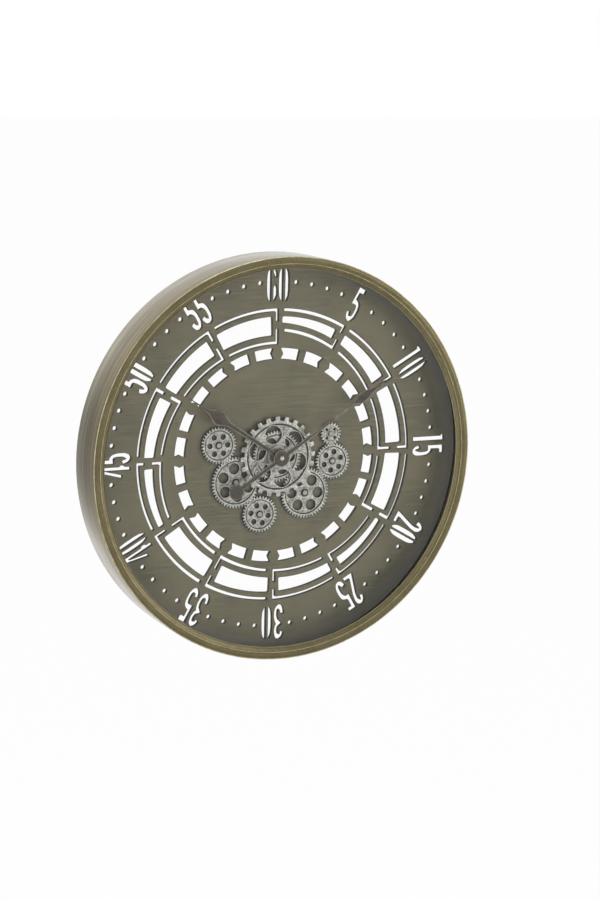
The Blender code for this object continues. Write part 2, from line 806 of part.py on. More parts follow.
def build_posts(paint, posts):
    """Posts riveted to the dial, each with the screw that keeps its gear on."""
    flange_back = DIAL_FRONT + GAP
    foot = DIAL_BACK - GAP
    post = turned_mesh([(0.0, POST_FRONT), (POST_R, POST_FRONT),
                        (POST_R, flange_back + FLANGE_T), (FLANGE_R, flange_back + FLANGE_T),
                        (FLANGE_R, flange_back), (POST_R, flange_back), (POST_R, foot),
                        (0.0, foot)], 8, closed=False)
    place_each({"post_" + name: at for name, at in posts.items()}, post, paint["brass"])


def head_mesh():
    """Domed screw head that closes a gear's post."""
    back = POST_FRONT + GAP
    return turned_mesh(dome(GEAR_HEAD_R, back, GEAR_HEAD_H) + [(0.0, back)], 8, closed=False)


def build_train(paint, gears):
    """Gears that the centre gear drives; the larger ones have a sunk web."""
    bore = hole(POST_R + POST_RUN, 8)
    for name, teeth, at, phase in gears:
        if teeth == MID_TEETH:
            holes = ring_of_holes(MID_HOLE_RING, MID_HOLE_R, 6, 8, HOLES_AT[name])
        elif teeth == SMALL_TEETH:
            holes = ring_of_holes(SMALL_HOLE_RING, SMALL_HOLE_R, 6, 6, HOLES_AT[name])
        else:
            holes = ring_of_holes(TINY_HOLE_RING, TINY_HOLE_R, 4, 6, HOLES_AT[name])
        gear = plate(name, [gear_edge(teeth, phase), bore] + holes, GEAR_BACK, GEAR_FRONT,
                     paint["silver"], at)
        if teeth == MID_TEETH:
            turn_out(gear, MID_BOSS_R, root_r(teeth) - RIM_BEHIND_ROOT, GEAR_FRONT, at)


def build_centre_gears(paint):
    silver = paint["silver"]
    middle = (0.0, 0.0)
    bore = hole(HUB_R + GAP, 12)
    rivet_at = polar(RIVET_FROM_AXIS, RIVET_AT)
    fine_holes = ring_of_holes(MID_HOLE_RING, MID_HOLE_R, 6, 8, HOLES_AT["center_gear"])
    rivet_hole = hole(RIVET_SHANK_R + GAP, 6, rivet_at)
    fine = plate("center_gear", [gear_edge(MID_TEETH, 0.0), bore, rivet_hole] + fine_holes,
                 GEAR_BACK, GEAR_FRONT, silver)
    turn_out(fine, COLLAR_R + 1.0, root_r(MID_TEETH) - RIM_BEHIND_ROOT, GEAR_FRONT, middle)
    coarse_holes = ring_of_holes(COARSE_HOLE_RING, COARSE_HOLE_R, 6, 12,
                                 HOLES_AT["coarse_gear"])
    coarse = plate("coarse_gear", [coarse_edge(COARSE_PHASE), bore] + coarse_holes,
                   COARSE_BACK, COARSE_FRONT, silver)
    turn_out(coarse, COARSE_BOSS_R, COARSE_RIM_R, COARSE_FRONT, middle)

    inner = (SLEEVE_R + POST_RUN) / math.cos(math.pi / 12)
    collar_back = GEAR_FRONT + GAP
    collar_front = COARSE_BACK - GAP
    turned("center_hub", [(HUB_R, HUB_FRONT), (HUB_R, collar_front), (COLLAR_R, collar_front),
                          (COLLAR_R, collar_back), (HUB_R, collar_back), (HUB_R, GEAR_BACK),
                          (inner, GEAR_BACK), (inner, HUB_FRONT)], 12, silver)
    head_back = GEAR_FRONT - RIM_RAISE + GAP
    head_front = head_back + RIVET_T
    turned("gear_rivet", [(0.0, head_front), (RIVET_R - RIVET_EDGE, head_front),
                          (RIVET_R, head_front - RIVET_EDGE), (RIVET_R, head_back),
                          (RIVET_SHANK_R, head_back), (RIVET_SHANK_R, GEAR_BACK),
                          (0.0, GEAR_BACK)], 10, paint["brass"], rivet_at, closed=False)


def build_centre_bearing(paint):
    back = DIAL_FRONT + GAP
    front = WASHER_BACK - GAP
    bore = hole(BUSH_R + GAP, 12)
    bore_r = (BUSH_R + GAP) / math.cos(math.pi / 12)
    turned("center_sleeve", [(SLEEVE_R, front), (SLEEVE_R, back + FLANGE_T),
                             (SLEEVE_FLANGE_R, back + FLANGE_T), (SLEEVE_FLANGE_R, back),
                             (bore_r, back), (bore_r, front)], 12, paint["brass"])
    plate("bush_washer", [circle(WASHER_R, 12), bore], WASHER_BACK, WASHER_BACK + WASHER_T,
          paint["zinc"])
    plate("bush_nut", [hole(NUT_FLATS / 2, 6), bore], NUT_BACK, NUT_BACK + NUT_T,
          paint["brass"])
    seat = MOVE_FRONT - GAP
    plate("bush_gasket", [circle(GASKET_R, 12), bore], MOVE_FRONT + GAP, DIAL_BACK - GAP,
          paint["rubber"])
    pipe_bore = (PIPE_R + PIPE_RUN) / math.cos(math.pi / 12)
    turned("threaded_bush", [(BUSH_R, BUSH_FRONT), (BUSH_R, seat), (BUSH_FOOT_R, seat),
                             (BUSH_FOOT_R, seat - BUSH_FOOT_T), (pipe_bore, seat - BUSH_FOOT_T),
                             (pipe_bore, BUSH_FRONT)], 12, paint["brass"])


def build_hands(paint):
    """Hour hand pressed on its pipe, minute hand held on its arbor by the cap."""
    low = MOVE_FRONT - BUSH_FOOT_T
    hour_front = HOUR_BACK + HAND_T
    hour_edge = hand_edge(HOUR_ROOT_HALF, HOUR_LEN, HOUR_LEAF, [])
    plate("hour_hand", [spun(hour_edge, HOUR_AT), hole(PIPE_R + GAP, 10)], HOUR_BACK,
          hour_front, paint["dark"])
    shoulder = HOUR_BACK - GAP
    bore = (ARBOR_R + PIPE_RUN) / math.cos(math.pi / 10)
    tip = hour_front + PIPE_PROUD
    turned("hour_pipe", [(PIPE_R, tip), (PIPE_R, shoulder), (PIPE_SHOULDER_R, shoulder),
                         (PIPE_SHOULDER_R, BUSH_FRONT + 2 * GAP),
                         (PIPE_R, BUSH_FRONT + 2 * GAP), (PIPE_R, low), (bore, low),
                         (bore, tip)], 10, paint["brass"])

    minute_front = MINUTE_BACK + HAND_T
    minute_edge = hand_edge(MINUTE_ROOT_HALF, MINUTE_LEN, MINUTE_LEAF,
                            tail_shape(TAIL_HALF, TAIL_LEN, TAIL_DISC_R))
    plate("minute_hand", [spun(minute_edge, MINUTE_AT), hole(ARBOR_R + GAP, 8)], MINUTE_BACK,
          minute_front, paint["dark"])
    tip = minute_front + ARBOR_PROUD
    shoulder = MINUTE_BACK - GAP
    under = shoulder - SHOULDER_T
    turned("minute_arbor", [(0.0, tip), (ARBOR_R, tip), (ARBOR_R, shoulder),
                            (ARBOR_SHOULDER_R, shoulder), (ARBOR_SHOULDER_R, under),
                            (ARBOR_R, under), (ARBOR_R, low), (0.0, low)], 8,
           paint["steel"], closed=False)
    cap_back = minute_front + GAP
    bore = ARBOR_R + GAP
    turned("hand_cap", dome(CAP_R, cap_back, CAP_H) + [(bore, cap_back), (bore, tip + GAP),
                                                       (0.0, tip + GAP)], 12, paint["cap"],
           closed=False)


def cell_mesh(turn):
    """Round battery cell, its nub to the right before the turn."""
    half = CELL_LEN / 2
    mesh = turned_mesh([(0.0, half + NUB_LEN), (NUB_R, half + NUB_LEN), (NUB_R, half),
                        (CELL_R, half), (CELL_R, -half), (0.0, -half)], 12, closed=False)
    mesh.transform(Matrix.Rotation(math.radians(turn), 4, "Z")
                   @ Matrix.Rotation(math.pi / 2, 4, "Y"))
    return mesh


def contact(name, width, height, level, surface, at):
    """Sprung plate at the end of a cell's bay."""
    plate(name, [rectangle(width, height)], level - CONTACT_HALF, level + CONTACT_HALF, surface,
          at)


def build_movement(paint):
    side = MOVE_SIDE
    bay_v = BAY_WALL + BAY_H / 2 - side / 2
    floor = MOVE_FRONT - BAY_FLOOR
    knob_at = (KNOB_U, KNOB_V)
    knob_hole = hole(KNOB_SHAFT_R + GAP, 8)
    case = plate("movement_case", [fillet(rectangle(side, side), HOUSING_CORNER_R, 1)],
                 MOVE_BACK, MOVE_FRONT, paint["black"])
    seat = plate("movement_bush_seat", [hole(BUSH_FOOT_R + GAP, 12)],
                 MOVE_FRONT - BUSH_FOOT_T - 2 * GAP, MOVE_FRONT + CUT_PAST, None)
    bay = plate("movement_bay", [rectangle(BAY_LEN, BAY_H, (0.0, bay_v))],
                MOVE_BACK - CUT_PAST, floor, None)
    socket = plate("movement_knob_hole", [knob_hole], MOVE_BACK - CUT_PAST,
                   MOVE_BACK + KNOB_DEPTH, None, knob_at)
    cut(case, seat, bay, socket)

    cover_front = MOVE_BACK - GAP
    cover_back = cover_front - COVER_T
    cover_low = bay_v + BAY_H / 2 + COVER_EDGE
    cover_h = side / 2 - cover_low
    cover = rectangle(side, cover_h, (0.0, cover_low + cover_h / 2))
    plate("movement_cover", [fillet(cover, HOUSING_CORNER_R, 1),
                             hole(KNOB_SHAFT_R + GAP, 8, knob_at)],
          cover_back, cover_front, paint["black"])

    level = floor - GAP - CELL_R
    cell = cell_mesh(0.0)
    cell.transform(Matrix.Translation((0.0, 0.0, level)))
    place("clock_cell", cell, paint["cell"], (-NUB_LEN / 2, bay_v))
    reach = BAY_LEN / 2 - GAP - CONTACT_T / 2
    contact("clock_contact_left", CONTACT_T, CONTACT_W, level, paint["zinc"], (-reach, bay_v))
    contact("clock_contact_right", CONTACT_T, CONTACT_W, level, paint["zinc"], (reach, bay_v))

    disc_front = cover_back - GAP
    disc_back = disc_front - KNOB_H
    shaft_front = MOVE_BACK + KNOB_DEPTH - GAP
    turned("time_set_knob", [(0.0, shaft_front), (KNOB_SHAFT_R, shaft_front),
                             (KNOB_SHAFT_R, disc_front), (KNOB_R, disc_front),
                             (KNOB_R, disc_back + KNOB_EDGE), (KNOB_R - KNOB_EDGE, disc_back),
                             (0.0, disc_back)], 12, paint["knob"], knob_at, closed=False)


def drive_layout(arbor_at):
    """Left and top edges, middle and screw places of the gear drive."""
    left = arbor_at[0] - DRIVE_INSET
    top = arbor_at[1] + DRIVE_DROP
    middle = (left + DRIVE_W / 2, top - DRIVE_H / 2)
    inset = DRIVE_SCREW_INSET
    return left, top, middle, [(left + inset, top - inset),
                               (left + inset, top - DRIVE_H + inset)]


def build_drive(paint, arbor_at):
    left, top, middle, screws = drive_layout(arbor_at)
    outline = fillet(rectangle(DRIVE_W, DRIVE_H, middle), HOUSING_CORNER_R, 1)
    case = plate("drive_case", [outline] + [hole(SCREW_SHANK_R + GAP, 8, at) for at in screws],
                 DRIVE_BACK, DRIVE_FRONT, paint["black"])
    socket = plate("drive_socket", [hole(ARBOR_FOOT_R + GAP, 10)],
                   DRIVE_FRONT - ARBOR_FOOT_DEPTH - GAP, DRIVE_FRONT + CUT_PAST, None, arbor_at)
    bay_w = 4 * CELL_R + CELL_SPACE + 2 * GAP
    bay_at = (left + DRIVE_W - BAY_WALL - bay_w / 2, middle[1])
    floor = DRIVE_FRONT - DRIVE_FLOOR
    bay = plate("drive_bay", [rectangle(bay_w, BAY_LEN)], DRIVE_BACK - CUT_PAST, floor, None,
                bay_at)
    slot_at = (left + SWITCH_INSET, middle[1] - SWITCH_DROP)
    slot_floor = DRIVE_BACK + SWITCH_DEPTH
    slot_w = SWITCH_W + SWITCH_TRAVEL + 2 * GAP
    slot = plate("drive_switch_slot", [rectangle(slot_w, SWITCH_H + 2 * GAP)],
                 DRIVE_BACK - CUT_PAST, slot_floor, None, slot_at)
    cut(case, socket, bay, slot)
    plate("drive_switch", [rectangle(SWITCH_W, SWITCH_H)], DRIVE_BACK - SWITCH_RAISE,
          slot_floor - GAP, paint["knob"], (slot_at[0] - SWITCH_TRAVEL / 2, slot_at[1]))

    level = floor - GAP - CELL_R
    spacing = CELL_R + CELL_SPACE / 2
    reach = BAY_LEN / 2 - GAP - CONTACT_T / 2
    for side, way in (("left", -1), ("right", 1)):
        cell = cell_mesh(-90.0 * way)
        cell.transform(Matrix.Translation((0.0, way * NUB_LEN / 2, level)))
        across = bay_at[0] + way * spacing
        place("drive_cell_" + side, cell, paint["cell"], (across, bay_at[1]))
        contact("drive_contact_" + side, CONTACT_W, CONTACT_T, level, paint["zinc"],
                (across, bay_at[1] + reach))
    contact("drive_bridge", 2 * spacing + CONTACT_W, CONTACT_T, level, paint["zinc"],
            (bay_at[0], bay_at[1] - reach))

    foot = DRIVE_FRONT - ARBOR_FOOT_DEPTH
    shoulder = foot + ARBOR_FOOT_T
    turned("drive_arbor", [(0.0, POST_FRONT), (POST_R, POST_FRONT), (POST_R, shoulder),
                           (ARBOR_FOOT_R, shoulder), (ARBOR_FOOT_R, foot), (0.0, foot)],
           8, paint["steel"], arbor_at, closed=False)


def build_hanger(paint):
    back = -BACK_FROM_DIAL + BAND_T + GAP
    front = back + HANGER_T
    inside = WALL_R - SHEET_T
    edge = WALL_R - HANGER_DEPTH
    profile = [(WALL_R, back + HANGER_LEG), (WALL_R, back + HANGER_BEND),
               (WALL_R - HANGER_BEND, back), (edge, back), (edge, front), (inside, front),
               (inside, back + HANGER_LEG)]
    made = place("hanger_plate", sector_mesh(profile, 0.0, HANGER_SPAN), paint["steel"])
    low = edge + KEY_EDGE + KEY_R
    high = low + KEY_SLOT_LEN
    rise = math.sqrt(KEY_R ** 2 - KEY_SLOT_R ** 2)
    keyhole = [(KEY_SLOT_R, low + rise), (KEY_SLOT_R, high), (0.0, high + KEY_SLOT_R),
               (-KEY_SLOT_R, high), (-KEY_SLOT_R, low + rise)]
    keyhole += [polar(KEY_R, 150 + 240 * i / 6, (0.0, low)) for i in range(7)]
    cut(made, plate("hanger_keyhole", [keyhole], back - CUT_PAST, front + CUT_PAST, None))


def gear_layout():
    """Name, teeth, centre and phase of each gear that the centre gear drives, in turn."""
    done = {"center_gear": (MID_TEETH, (0.0, 0.0), 0.0)}
    for name, driver, teeth, direction in TRAIN:
        driver_teeth, at, phase = done[driver]
        distance = pitch_r(driver_teeth) + pitch_r(teeth)
        done[name] = (teeth, polar(distance, direction, at),
                      mesh_phase(phase, driver_teeth, teeth, direction))
    return [(name, *values) for name, values in done.items() if name != "center_gear"]


def main():
    clear_scene()
    paint = {
        "bronze": material("brushed_bronze", (0.26, 0.24, 0.18), 0.42, 0.8),
        "gilt": material("gilt_bronze", (0.33, 0.27, 0.14), 0.38, 0.85),
        "dial": material("dial_bronze", (0.22, 0.21, 0.17), 0.48, 0.6),
        "silver": material("antique_silver", (0.50, 0.50, 0.46), 0.42, 0.8),
        "brass": material("pale_brass", (0.62, 0.55, 0.38), 0.35, 0.9),
        "cap": material("cap_nickel", (0.75, 0.73, 0.66), 0.25, 0.9),
        "dark": material("dark_bronze", (0.12, 0.10, 0.08), 0.45, 0.6),
        "steel": material("plain_steel", (0.55, 0.55, 0.54), 0.40, 0.9),
        "zinc": material("zinc_plate", (0.68, 0.68, 0.66), 0.35, 0.9),
        "glass": material("clear_glass", (0.95, 0.97, 0.97), 0.03, 0.0),
        "black": material("black_plastic", (0.03, 0.03, 0.03), 0.50, 0.0),
        "rubber": material("black_rubber", (0.02, 0.02, 0.02), 0.80, 0.0),
        "knob": material("grey_plastic", (0.25, 0.25, 0.25), 0.50, 0.0),
        "cell": material("cell_jacket", (0.16, 0.17, 0.18), 0.35, 0.2),
    }
    gears = gear_layout()
    centres = {name: at for name, teeth, at, phase in gears}
    arbor_at = centres["mid_gear_right"]
    posts = {name: at for name, at in centres.items() if name != "mid_gear_right"}
    screw_r = CASE_R - BAND_T - TAB_SCREW_FROM_WALL
    tab_screws = {f"dial_screw_{i + 1}": on_dial(screw_r, tab_clock(i))
                  for i in range(TAB_COUNT)}
    drive_screws = {f"drive_screw_{i + 1}": at for i, at in enumerate(drive_layout(arbor_at)[3])}

    build_case(paint)
    build_dial(paint, posts, arbor_at, [*tab_screws.values(), *drive_screws.values()])
    build_tabs(paint, tab_screws)
    screw_tip = DIAL_BACK + SCREW_BITE
    place_each(tab_screws, screw_mesh(DIAL_BACK - GAP - SHEET_T, screw_tip), paint["zinc"])
    place_each(drive_screws, screw_mesh(DRIVE_BACK, screw_tip), paint["zinc"])
    build_posts(paint, posts)
    place_each({"screw_" + name: at for name, at in centres.items()}, head_mesh(),
               paint["brass"], smooth=True)
    build_train(paint, gears)
    build_centre_gears(paint)
    build_centre_bearing(paint)
    build_hands(paint)
    build_movement(paint)
    build_drive(paint, arbor_at)
    build_hanger(paint)


main()
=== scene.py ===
"""Gear wall clock, dressed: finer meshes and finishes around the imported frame.

Everything is drawn in millimetres as seen from the front: u to the right, v up and f forward
from the middle of the dial's thickness.  FRAME turns that drawing into metres.
"""
import json
import math

import bmesh
import bpy
from mathutils import Matrix, Vector

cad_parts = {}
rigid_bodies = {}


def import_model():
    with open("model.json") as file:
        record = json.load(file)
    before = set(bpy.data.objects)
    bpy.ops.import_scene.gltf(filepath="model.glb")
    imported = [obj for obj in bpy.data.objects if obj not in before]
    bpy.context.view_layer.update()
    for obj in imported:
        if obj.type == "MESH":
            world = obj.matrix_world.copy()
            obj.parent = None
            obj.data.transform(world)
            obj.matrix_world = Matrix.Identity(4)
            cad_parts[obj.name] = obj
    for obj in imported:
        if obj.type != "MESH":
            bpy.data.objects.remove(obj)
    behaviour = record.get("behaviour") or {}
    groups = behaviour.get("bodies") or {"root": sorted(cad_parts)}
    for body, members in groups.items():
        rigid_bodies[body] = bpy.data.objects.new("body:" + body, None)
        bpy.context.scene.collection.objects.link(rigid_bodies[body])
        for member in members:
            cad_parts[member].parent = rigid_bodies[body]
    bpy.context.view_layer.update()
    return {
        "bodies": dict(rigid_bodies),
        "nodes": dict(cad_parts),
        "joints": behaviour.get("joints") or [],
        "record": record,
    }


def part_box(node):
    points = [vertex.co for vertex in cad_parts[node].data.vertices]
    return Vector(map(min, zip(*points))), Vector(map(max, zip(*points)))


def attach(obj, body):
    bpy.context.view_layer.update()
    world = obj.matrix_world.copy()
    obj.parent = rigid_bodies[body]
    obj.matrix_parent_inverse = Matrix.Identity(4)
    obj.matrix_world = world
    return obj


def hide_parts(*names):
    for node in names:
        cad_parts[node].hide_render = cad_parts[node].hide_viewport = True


MM = 0.001
GAP = 0.3

# Camera: where it stands in metres and how it is turned
CAMERA_AT = (-1.4433, -3.2545, 0.6590)
CAMERA_RIGHT = (0.91152, -0.41078, 0.01994)
CAMERA_UP = (0.05573, 0.17143, 0.98362)
LENS = 97.94

# Lamps: where they stand in metres, their size and their power
LAMPS = {
    "key_light": ((-1.2, -1.95, -0.3), 3.0, 16.5),
    "fill_light": ((2.2, -2.4, 0.4), 2.0, 14.0),
    "top_light": ((0.0, 0.8, 2.6), 1.8, 34.0),
}

# Case
CASE_R = 300.0
BAND_T = 1.2
BACK = -30.6
FRONT = 45.6
HEM_W = 3.0
SHEET_T = 1.5
RIDGE_R = 289.0
LIP_R = 282.0
LIP_DROP = 5.5
RIDGE_DROP = 0.4
SKIRT_LEN = 14.0
GLASS_T = 3.0
TURN_STEPS = 240

# Bright beads along the bezel, worn and painted as highlight lines: radius, drop from its front
# and thickness
HIGHLIGHT_BEADS = {
    "bezel_outer_bead": (CASE_R - 0.78, 0.85, 0.75),
    "bezel_ridge_bead": (RIDGE_R + 0.4, 0.9, 0.45),
    "bezel_lip_bead": (LIP_R + 0.5, 4.9, 0.5),
}

# Dial
DIAL_R = 297.6
DIAL_FRONT = 3.5
DIAL_BACK = -3.5
SECTORS = 12
SECTOR = 360.0 / SECTORS
ARC_STEP = 1.5
DOTS = 4                       # in every sector
DOT_RING_R = 258.8
DOT_R = 3.5
DOT_PITCH = 5.7355
WINDOW_OUT_R = 207.6
WINDOW_IN_R = 192.0
WINDOW_START = 2.0
WINDOW_END = 27.5
WINDOW_CORNER_R = 3.0
SPIRAL_SHIFT = 12.9
SPIRAL_TURN = 60.0
SLIT_W = 4.5
SLIT_OUT_R = 217.3
SLIT_IN_R = 181.3
SLIT_OUT_START = 2.6
SLIT_IN_START = 3.3
SLIT_LINE = 29.7
BRIDGE = 11.4
BRIDGE_RISE = 1.8
ARROW_OUT_R = 161.0
ARROW_IN_R = 144.3
ARROW_START = 2.1
ARROW_END = 13.1
ARROW_NOTCH = 1.45
FIGURE_BASE_R = 227.5
NIB_U = 3.0
NIB_V = 3.7
CUT_EDGE = 0.35                # softened edge of the openings
CUT_CORNER = 35.0              # turn in degrees from which an opening's corner is rounded

RIM_LIGHT_REACH = (0.270, 0.296)   # in metres, where the dial turns paler towards its rim: painted light under the bezel's shade

# Gear train
MODULE = 1.55
BACKLASH = 0.36
TIP_HALF = 0.42
TOOTH_CORNER = 20.0            # turn in degrees from which a tooth's corner is rounded
GEAR_BACK = 4.9
GEAR_FRONT = 8.1
WEB_DROP = 0.8
GEAR_EDGE = 0.22
DRIVEN_GEAR = "mid_gear_right"  # sits on the drive's arbor, the others run on posts
POST_R = 2.0
POST_PROUD = 0.2
FLANGE_R = 5.0
FLANGE_T = 0.8
FLANGE_BACK = DIAL_FRONT + GAP
FLANGE_FRONT = FLANGE_BACK + FLANGE_T
GEAR_HEAD_R = 3.7
COARSE_TEETH = 24
COARSE_TIP_R = 60.0
COARSE_ROOT_R = 54.0
COARSE_TIP_W = 6.4
COARSE_ROOT_W = 7.6
COARSE_BACK = 9.3
COARSE_FRONT = 12.5
COARSE_PHASE = 1.5
RIVET_AT = 208.6
RIVET_FROM_AXIS = 27.0
RIVET_R = 4.0
RIVET_SEAT = 7.7               # underside of its head
RIVET_SHANK_R = 1.8

# Centre bearing
HUB_R = 9.0
HUB_FRONT = 12.7
HUB_BORE_R = 6.95
COLLAR_R = 12.0
SLEEVE_R = 6.5
SLEEVE_BORE_R = 4.45
SLEEVE_FLANGE_R = 10.5
WASHER_R = 8.4
WASHER_BORE_R = 4.4
WASHER_T = 0.8
NUT_FLATS = 11.0
NUT_T = 2.6
GASKET_R = 12.0
GASKET_T = 1.0
BUSH_R = 4.0
BUSH_HOLE_R = 4.3
BUSH_FRONT = 17.5
BUSH_FOOT_R = 6.0
BUSH_FOOT_T = 2.6
THREADS = 31
THREAD_PITCH = 0.7

# Hands
MINUTE_AT = 56.9
HOUR_AT = 303.2
HAND_BOSS_R = 12.8
HOUR_BACK = 20.7
MINUTE_BACK = 25.2
HAND_T = 1.2
HAND_EDGE = 0.42
RIM_W = 0.6                    # pale border along the hands
RIM_RISE = 0.12
INSETS = (0.0, HAND_EDGE, HAND_EDGE + RIM_W)  # a hand's outline, and both sides of its border
TAIL_HALF = 3.3
TAIL_LEN = 85.2
TAIL_DISC_R = 12.0
SHAFT_BACK = -7.7              # rear end of the hour pipe and the minute arbor
PIPE_R = 2.55
PIPE_BORE_R = 1.58
PIPE_PROUD = 0.4               # of the hour hand
PIPE_SHOULDER_R = 4.55
ARBOR_R = 1.2
ARBOR_PROUD = 0.9              # of the minute hand
ARBOR_SHOULDER_R = 3.0
SHOULDER_T = 1.2
CAP_R = 3.6

# Movement, cells and screws
MOVE_FRONT = -5.1
MOVE_BACK = -19.5
MOVE_SIDE = 56.0
HOUSING_CORNER_R = 3.0
HOUSING_EDGE = 0.3
BAY_W = 52.4
BAY_H = 15.2
BAY_WALL = 2.0
BAY_FLOOR = 1.3
COVER_T = 1.6
COVER_EDGE = 1.0               # from the cover to the cell's bay
KNOB_AT = (12.0, 9.0)
KNOB_R = 8.0
KNOB_H = 4.0
KNOB_SHAFT_R = 1.2
KNOB_SHAFT_FRONT = -16.8
CELL_R = 7.0
CELL_LEN = 48.6
NUB_R = 2.7
NUB_LEN = 1.6
SCREW_SHANK_R = 1.4
SCREW_HEAD_R = 3.2
SCREW_HEAD_H = 2.0

# Stage: directions from the clock, and the floor in metres
ROOM_FRONT = (-0.45, -0.89, -0.1)
GREY_CORNER = (-0.36, 0.93, -0.12)
SOFT_LIGHT = 0.5               # strength of the grey light from all round
FLOOR_HALF = 40.0
FLOOR_LEVEL = -1.5
FLOOR_GLOW = 0.97              # the rest of the floor takes the clock's shadow

DIAL_Y = 7.5
SHARP_ANGLE = 32.0
BEVEL_ANGLE = 40.0
FRAME = Matrix.Rotation(math.pi / 2, 4, "X") @ Matrix.Scale(MM, 4)


# Drawing helpers

def polar(radius, degrees, centre=(0.0, 0.0)):
    """Point at an angle counter-clockwise from +u."""
    angle = math.radians(degrees)
    return (centre[0] + radius * math.cos(angle), centre[1] + radius * math.sin(angle))


def on_dial(radius, clock, side=0.0):
    """Point at a clock angle, moved sideways (clockwise) from that line."""
    angle = math.radians(clock)
    return (radius * math.sin(angle) + side * math.cos(angle),
            radius * math.cos(angle) - side * math.sin(angle))


def circle(radius, count, centre=(0.0, 0.0)):
    return [polar(radius, 360 * i / count, centre) for i in range(count)]


def rectangle(width, height, centre=(0.0, 0.0)):
    u, v = centre
    return [(u - width / 2, v - height / 2), (u + width / 2, v - height / 2),
            (u + width / 2, v + height / 2), (u - width / 2, v + height / 2)]


def rounded(points, radius, steps, sharp=8.0, sharpest=180.0, is_closed=True):
    """Round every corner whose turn lies between the two angles."""
    result = []
    for i, here in enumerate(points):
        if not is_closed and i in (0, len(points) - 1):
            result.append(here)
            continue
        before = points[i - 1]
        after = points[(i + 1) % len(points)]
        into = (here[0] - before[0], here[1] - before[1])
        out = (after[0] - here[0], after[1] - here[1])
        turn = math.degrees(math.atan2(into[0] * out[1] - into[1] * out[0],
                                       into[0] * out[0] + into[1] * out[1]))
        if not sharp < abs(turn) < sharpest:
            result.append(here)
            continue
        reach = radius * math.tan(math.radians(abs(turn)) / 2)
        reach = min(reach, 0.48 * math.hypot(*into), 0.48 * math.hypot(*out))
        start = [here[k] - into[k] / math.hypot(*into) * reach for k in (0, 1)]
        end = [here[k] + out[k] / math.hypot(*out) * reach for k in (0, 1)]
        for step in range(steps + 1):
            t = step / steps
            result.append(tuple((1 - t) ** 2 * start[k] + 2 * t * (1 - t) * here[k]
                                + t ** 2 * end[k] for k in (0, 1)))
    return result


def stroke(path):
    """Outline of a pen line drawn with an oval nib, found where that nib is a unit circle."""
    path = rounded(path, 9.0, 5, sharpest=88.0, is_closed=False)
    path = [Vector((u / NIB_U, v / NIB_V)) for u, v in path]
    sides = []
    for sign in (1, -1):
        edge = []
        for i, here in enumerate(path):
            ends = [(a, b) for a, b in ((i - 1, i), (i, i + 1)) if a >= 0 and b < len(path)]
            normals = [(path[b] - path[a]).orthogonal().normalized() for a, b in ends]
            normal = sum(normals, Vector((0.0, 0.0)))
            edge.append(here + normal * sign * len(normals) / normal.length_squared)
        kept = edge[:1]
        for point in edge[1:]:
            if distance_from(path, point) > 0.995 and (point - kept[-1]).length > 0.1:
                kept.append(point)
        sides.append(kept)
    return [(u * NIB_U, v * NIB_V) for u, v in sides[0] + sides[1][::-1]]


def distance_from(path, point):
    """Shortest distance of a point from a line of straight pieces."""
    shortest = math.inf
    for start, end in zip(path, path[1:]):
        along = (point - start).dot(end - start) / (end - start).length_squared
        nearest = start.lerp(end, min(1.0, max(0.0, along)))
        shortest = min(shortest, (point - nearest).length)
    return shortest


def mirrored(points):
    return [(-u, v) for u, v in points[::-1]]


# Mesh helpers

def new_object(name, data):
    made = bpy.data.objects.new(name, data)
    bpy.context.scene.collection.objects.link(made)
    return made


def evaluated(made):
    """Mesh of an object with its modifiers or its curve's thickness."""
    bpy.context.view_layer.update()
    graph = bpy.context.evaluated_depsgraph_get()
    return bpy.data.meshes.new_from_object(made.evaluated_get(graph))


def plate_mesh(outlines, back, front, edge=0.0, edge_steps=1):
    """Flat solid with softened edges: the first outline is its edge, the rest are holes."""
    curve = bpy.data.curves.new("outline", "CURVE")
    curve.dimensions = "2D"
    curve.fill_mode = "BOTH"
    curve.bevel_depth = edge
    curve.bevel_resolution = edge_steps
    curve.offset = -edge
    curve.extrude = (front - back) / 2 - edge
    for outline in outlines:
        spline = curve.splines.new("POLY")
        spline.points.add(len(outline) - 1)
        for point, (u, v) in zip(spline.points, outline):
            point.co = (u, v, 0.0, 1.0)
        spline.use_cyclic_u = True
    holder = new_object("outline", curve)
    mesh = evaluated(holder)
    bpy.data.objects.remove(holder)
    return moved(mesh, forward=(front + back) / 2)


def turned(profile, steps, corner_r=0.0, corner_steps=2):
    """Solid of revolution about the forward axis, from (radius, forward) points.

    A profile that starts on the axis ends there too; any other one is a closed loop.  It may
    run either way round."""
    is_closed = profile[0][0] > 0.0
    if corner_r:
        profile = rounded(profile, corner_r, corner_steps, is_closed=is_closed)
    if sum(a[0] * b[1] - b[0] * a[1] for a, b in zip(profile, profile[1:] + profile[:1])) < 0:
        profile = profile[::-1]
    verts = []
    rings = []
    for radius, forward in profile:
        if radius == 0.0:
            rings.append([len(verts)] * steps)
            verts.append((0.0, 0.0, forward))
            continue
        rings.append(list(range(len(verts), len(verts) + steps)))
        verts += [(u, v, forward) for u, v in circle(radius, steps)]
    faces = []
    pairs = list(zip(rings, rings[1:]))
    if is_closed:
        pairs.append((rings[-1], rings[0]))
    for low, high in pairs:
        for i in range(steps):
            j = (i + 1) % steps
            face = [low[i], low[j], high[j], high[i]]
            faces.append(list(dict.fromkeys(face)))
    mesh = bpy.data.meshes.new("turned")
    mesh.from_pydata(verts, [], faces)
    return mesh


def stepped(cylinders, back, bore_r=0.0):
    """Profile of a shaft or ring, from the radius and front of each of its cylinders."""
    ends = [front for radius, front in cylinders[1:]] + [back]
    profile = [(bore_r, cylinders[0][1])]
    for (radius, front), end in zip(cylinders, ends):
        profile += [(radius, front), (radius, end)]
    return profile + [(bore_r, back)]


